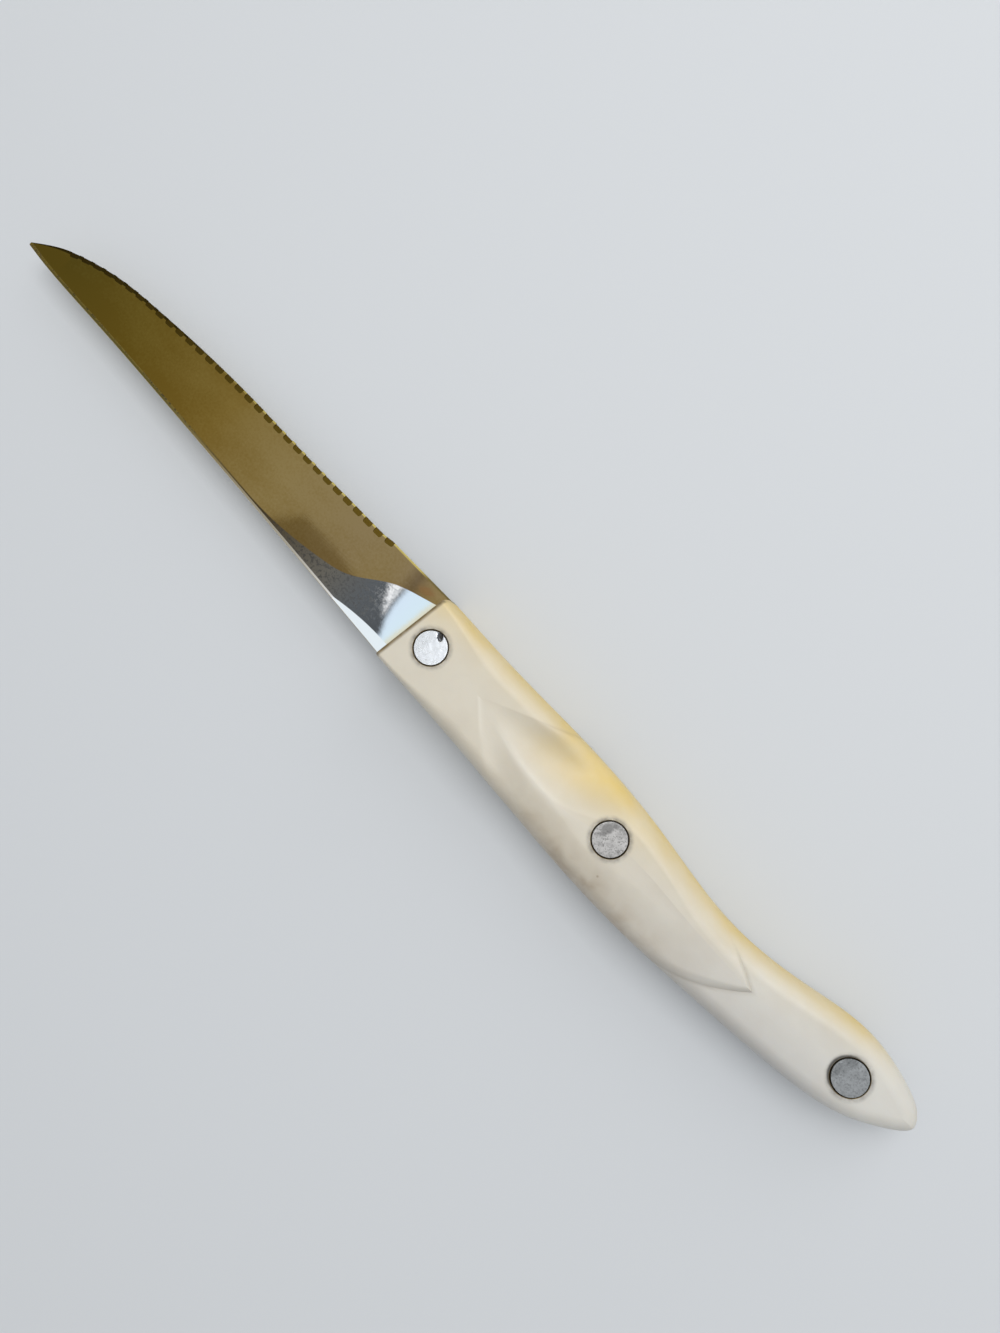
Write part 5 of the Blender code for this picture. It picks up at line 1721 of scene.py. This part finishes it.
class KNIFE_OT_blade(bpy.types.Operator):
    """Builds the blade with its tang, its grind and its row of ground recesses"""

    bl_idname = "knife.blade"
    bl_label = "Blade"

    def execute(self, context):
        scene = context.scene
        sizes, rivets = scene.knife_blade, scene.knife_rivets
        handle = HandleForm(scene.knife_handle)
        form = BladeForm(sizes, handle)
        tang = helper("tang", plate("tang", handle.tang_outline(sizes, 0.0), sizes.tang_thickness / 2))
        spots = [(x, y, 0.0) for x, y, _ in handle.rivet_places().values()]
        places = helper("tang_bores", points_mesh("tang_bores", spots))
        mesh = grow(
            finished_blade_tree(),
            blade_loft(form),
            tang=tang,
            places=places,
            bore=rivets.shank_radius + CLEARANCE,
            through=2 * sizes.stock,
            pitch=sizes.recess_pitch,
            width=sizes.recess_width,
            reach=sizes.recess_reach,
            corner=sizes.recess_corner,
            rise=sizes.grind_slope * sizes.recess_reach - sizes.recess_sill,
            drop=sizes.edge_thickness - sizes.recess_left,
            fade_start=-FADE_START * sizes.length,
            fade_end=-FADE_END * sizes.length,
            shallower=sizes.recess_fade,
            material=polished_stainless(sizes, knife_axis()),
        )
        for obj in (tang, places):
            bpy.data.objects.remove(obj)
        place("blade_steel", mesh, "blade", "blade_steel")
        return {"FINISHED"}


class KNIFE_OT_rivets(bpy.types.Operator):
    """Builds the three two-piece rivets"""

    bl_idname = "knife.rivets"
    bl_label = "Rivets"

    def execute(self, context):
        scene = context.scene
        sizes = scene.knife_rivets
        tree = rivet_tree()
        axis = knife_axis()
        for seed, (name, (x, y, half)) in enumerate(HandleForm(scene.knife_handle).rivet_places().items()):
            metal, roughness, smear, chip_depth, lean, sunk, shift = RIVET_LOOKS[name]
            colour = getattr(sizes, name)
            centre = (axis.x + x + SMEAR_OFF[0], axis.y + y + SMEAR_OFF[1], 0.0)
            material = nickel_silver(metal, colour, roughness, smear, float(seed), centre)
            top = half - sizes.recess - sunk
            head = dict(
                head_radius=sizes.head_radius,
                head_depth=sizes.head_depth,
                rim_round=sizes.rim_round,
                dent=sizes.dent,
                material=material,
            )
            pin_end = -half + sizes.recess + sizes.head_depth + CLEARANCE
            male = grow(
                tree,
                bpy.data.meshes.new("male"),
                shank_radius=sizes.pin_radius,
                shank_length=top - sizes.head_depth / 2 - pin_end,
                hollow=False,
                bore_radius=sizes.pin_radius,
                seed=float(seed),
                chip_place=CHIP_PLACE if chip_depth else NO_CHIP,
                chip_size=CHIP_SIZE,
                chip_turn=CHIP_TURN,
                chip_depth=chip_depth,
                **head,
            )
            female = grow(
                tree,
                bpy.data.meshes.new("female"),
                shank_radius=sizes.shank_radius,
                shank_length=2 * half - 2 * sizes.recess - 1.5 * sizes.head_depth - 2 * CLEARANCE,
                hollow=True,
                bore_radius=sizes.pin_radius + CLEARANCE,
                seed=seed + LEFT_SEED,
                chip_place=NO_CHIP,
                chip_size=CHIP_SIZE,
                chip_turn=0.0,
                chip_depth=0.0,
                **head,
            )
            tilt = Euler((lean, lean, 0.0)).to_matrix().to_4x4()
            turned_over = Matrix.Rotation(math.pi, 4, "X")
            up = Matrix.Translation((x + shift, y, top)) @ tilt
            down = Matrix.Translation((x, y, -half + sizes.recess)) @ turned_over
            place(f"{name}_rivet_right", male, f"{name}_rivet_male", "rivet_metal", up)
            place(f"{name}_rivet_left", female, f"{name}_rivet_female", "rivet_metal", down)
        return {"FINISHED"}


def card(name, height, gain, colours, rows, material):
    """A flat card overhead that shows only in reflections, graded from one side to the other.

    Each row is a Y and the Xs of the card's colours there, in millimetres.
    """
    wide = len(colours)
    corners = [(x, y) for y, *places in rows for x in places]
    faces = []
    for i in range(len(rows) - 1):
        for first in range(i * wide, (i + 1) * wide - 1):
            faces.append((first, first + 1, first + wide + 1, first + wide))
    mesh = bpy.data.meshes.new(name)
    mesh.from_pydata([(x * MM, y * MM, height * MM) for x, y in corners], [], faces)
    glow = mesh.attributes.new("glow", "FLOAT_COLOR", "POINT")
    for value, colour in zip(glow.data, colours * len(rows)):
        value.color = [gain * channel for channel in linear(colour)]
    mesh.materials.append(material)
    obj = bpy.data.objects.new(name, mesh)
    bpy.context.scene.collection.objects.link(obj)
    for kind in ("camera", "diffuse", "transmission", "volume_scatter", "shadow"):
        setattr(obj, f"visible_{kind}", False)


def card_glow():
    """The cards' light, in the colours of their corners."""
    material = bpy.data.materials.new("card_glow")
    material.use_nodes = True
    tree = material.node_tree
    tree.nodes.clear()
    colour = add(tree, "ShaderNodeAttribute", attribute_name="glow")
    light = add(tree, "ShaderNodeEmission", {"Color": (colour, "Color")})
    add(tree, "ShaderNodeOutputMaterial", {"Surface": light})
    return material


FLOOR_HALF = 4.0
LIGHT_SIZE = 0.7
KEY_PLACE = (0.03, 0.3, 0.9)
FILL_PLACE = (0.05, 0.75, 0.35)
SENSOR_WIDTH = 36.0  # in millimetres
EYE_PLACE = (0.04228, 0.01949, 0.19641)
EYE_TURN = (3.609, 8.636, 44.649)  # in degrees

# Cards overhead, which the blade mirrors: height in millimetres, gain, colours from the left side to the
# right, and rows of a Y with the colours' Xs
WALL_STOPS = (-1000, -441, -370, -316, -240, -203, -100)
CEILING_STOPS = (-1100, -640, -520, -400, -320, -232, -205, -187, -100)
SHADE_STOPS = (-1500, -520, -400, -225, -205, -100)
STRIP_STOPS = (-1000, -525, -441, -316, -274, -232, -165, -160, -80)
CARDS = {
    "left_pane": (
        608,
        1.35,
        ("#F8F8FA", "#EEF1F5"),
        ((-20, -205, -181.5), (-43, -192, -180.5), (-56, -185, -179.5), (-66, -178, -177)),
    ),
    "right_pane": (
        608,
        1.4,
        ("#D6E7F9", "#D6EAF6", "#DCDAC4", "#F2F4F5"),
        (
            (-20, -178.5, -152.7, -151.7, -40),
            (-41, -177.5, -156, -155, -40),
            (-54, -176.5, -157.6, -156.6, -40),
            (-66, -174, -159.5, -158.5, -40),
            (-79, -168, -161.4, -160.4, -40),
            (-110, -157, -156, -155, -40),
        ),
    ),
    "dark_wall": (
        614,
        1.0,
        ("#584C1E", "#84723A", "#6F5F39", "#4F4228", "#75726A", "#686D72", "#33343A"),
        ((-18, *WALL_STOPS), (-150, *WALL_STOPS)),
    ),
    "warm_ceiling": (
        614,
        1.0,
        ("#5B572D", "#6C6739", "#80753F", "#978854", "#A89D7A", "#A69C88", "#82776A", "#A89C80", "#BBAE90"),
        ((-16, *CEILING_STOPS), (150, *CEILING_STOPS)),
    ),
    "roof_edge": (
        610,
        1.0,
        ("#857858", "#877A5E", "#8E8167", "#93866E"),
        ((22.5, -291.8, -266.7, -239.9, -226), (-16, -322.4, -285, -250, -200)),
    ),
    "shade": (
        616,
        1.0,
        ("#3E3A20", "#3E3A20", "#D8D490", "#F4F0A8", "#8A8460", "#7C7656"),
        ((150, *SHADE_STOPS), (480, *SHADE_STOPS)),
    ),
    "strip_light": (
        608,
        1.35,
        ("#443C17", "#5C542C", "#7F714C", "#A9A498", "#CDCBC6", "#F5F7FC", "#E2F1F9", "#B6AE98", "#B6AE98"),
        ((-200, *STRIP_STOPS), (-400, *STRIP_STOPS)),
    ),
}


def soft_light(name, power, place):
    """A large square light that faces the knife."""
    light = bpy.data.lights.new(name, "AREA")
    light.size = LIGHT_SIZE
    light.energy = power
    lamp = bpy.data.objects.new(name, light)
    lamp.location = place
    lamp.rotation_euler = (-lamp.location).to_track_quat("-Z", "Y").to_euler()
    bpy.context.scene.collection.objects.link(lamp)


class KNIFE_OT_stage(bpy.types.Operator):
    """Builds the floor, the lights and the camera"""

    bl_idname = "knife.stage"
    bl_label = "Stage"

    def execute(self, context):
        scene = context.scene
        sizes = scene.knife_stage
        floor_mesh = bpy.data.meshes.new("floor")
        signs = ((-1, -1), (1, -1), (1, 1), (-1, 1))
        corners = [(FLOOR_HALF * x, FLOOR_HALF * y, 0.0) for x, y in signs]
        floor_mesh.from_pydata(corners, [], [(0, 1, 2, 3)])
        floor = bpy.data.objects.new("floor", floor_mesh)
        scene.collection.objects.link(floor)
        material, tree, shader = new_material("matt_paper")
        coords = (add(tree, "ShaderNodeTexCoord"), "Object")
        fibre = add(tree, "ShaderNodeTexNoise", {"Vector": coords, "Scale": 1 / (2 * MM), "Detail": 3.0})
        bump = add(tree, "ShaderNodeBump", {"Height": fibre, "Strength": 0.05, "Distance": 0.05 * MM})
        feed(tree, shader, {"Base Color": tuple(sizes.floor), "Roughness": 0.8, "Normal": bump})
        floor_mesh.materials.append(material)

        world = bpy.data.worlds.new("studio")
        world.use_nodes = True
        background = world.node_tree.nodes["Background"]
        background.inputs["Color"].default_value = tuple(sizes.room)
        background.inputs["Strength"].default_value = sizes.room_strength
        scene.world = world

        soft_light("key", sizes.key_power, KEY_PLACE)
        soft_light("fill", sizes.fill_power, FILL_PLACE)

        glow = card_glow()
        for name, sizes_and_colours in CARDS.items():
            card(name, *sizes_and_colours, glow)

        camera = bpy.data.cameras.new("camera")
        camera.lens = sizes.lens
        camera.sensor_width = SENSOR_WIDTH
        camera.clip_start = 0.01
        eye = bpy.data.objects.new("camera", camera)
        eye.location = EYE_PLACE
        eye.rotation_euler = [math.radians(angle) for angle in EYE_TURN]
        scene.collection.objects.link(eye)
        scene.camera = eye
        scene.view_settings.view_transform = "Standard"
        return {"FINISHED"}


class KNIFE_PT_panel(bpy.types.Panel):
    """Lists the knife's sizes and the steps that build it"""

    bl_idname = "KNIFE_PT_panel"
    bl_label = "Trimming knife"
    bl_space_type = "VIEW_3D"
    bl_region_type = "UI"
    bl_category = "Knife"

    def draw(self, context):
        for group, operator in PIECES:
            box = self.layout.box()
            settings = getattr(context.scene, group)
            for name in settings.__annotations__:
                box.prop(settings, name)
            box.operator(operator.bl_idname)


PIECES = (
    ("knife_handle", KNIFE_OT_handle),
    ("knife_blade", KNIFE_OT_blade),
    ("knife_rivets", KNIFE_OT_rivets),
    ("knife_stage", KNIFE_OT_stage),
)
GROUPS = {
    "knife_handle": HandleSizes,
    "knife_blade": BladeSizes,
    "knife_rivets": RivetSizes,
    "knife_stage": StageSizes,
}


def register():
    for name, group in GROUPS.items():
        bpy.utils.register_class(group)
        setattr(bpy.types.Scene, name, bpy.props.PointerProperty(type=group))
    for _, operator in PIECES:
        bpy.utils.register_class(operator)
    bpy.utils.register_class(KNIFE_PT_panel)


def unregister():
    bpy.utils.unregister_class(KNIFE_PT_panel)
    for _, operator in reversed(PIECES):
        bpy.utils.unregister_class(operator)
    for name, group in reversed(GROUPS.items()):
        delattr(bpy.types.Scene, name)
        bpy.utils.unregister_class(group)


def main():
    register()
    bpy.ops.knife.handle()
    bpy.ops.knife.blade()
    bpy.ops.knife.rivets()
    bpy.ops.knife.stage()


if __name__ == "__main__":
    main()
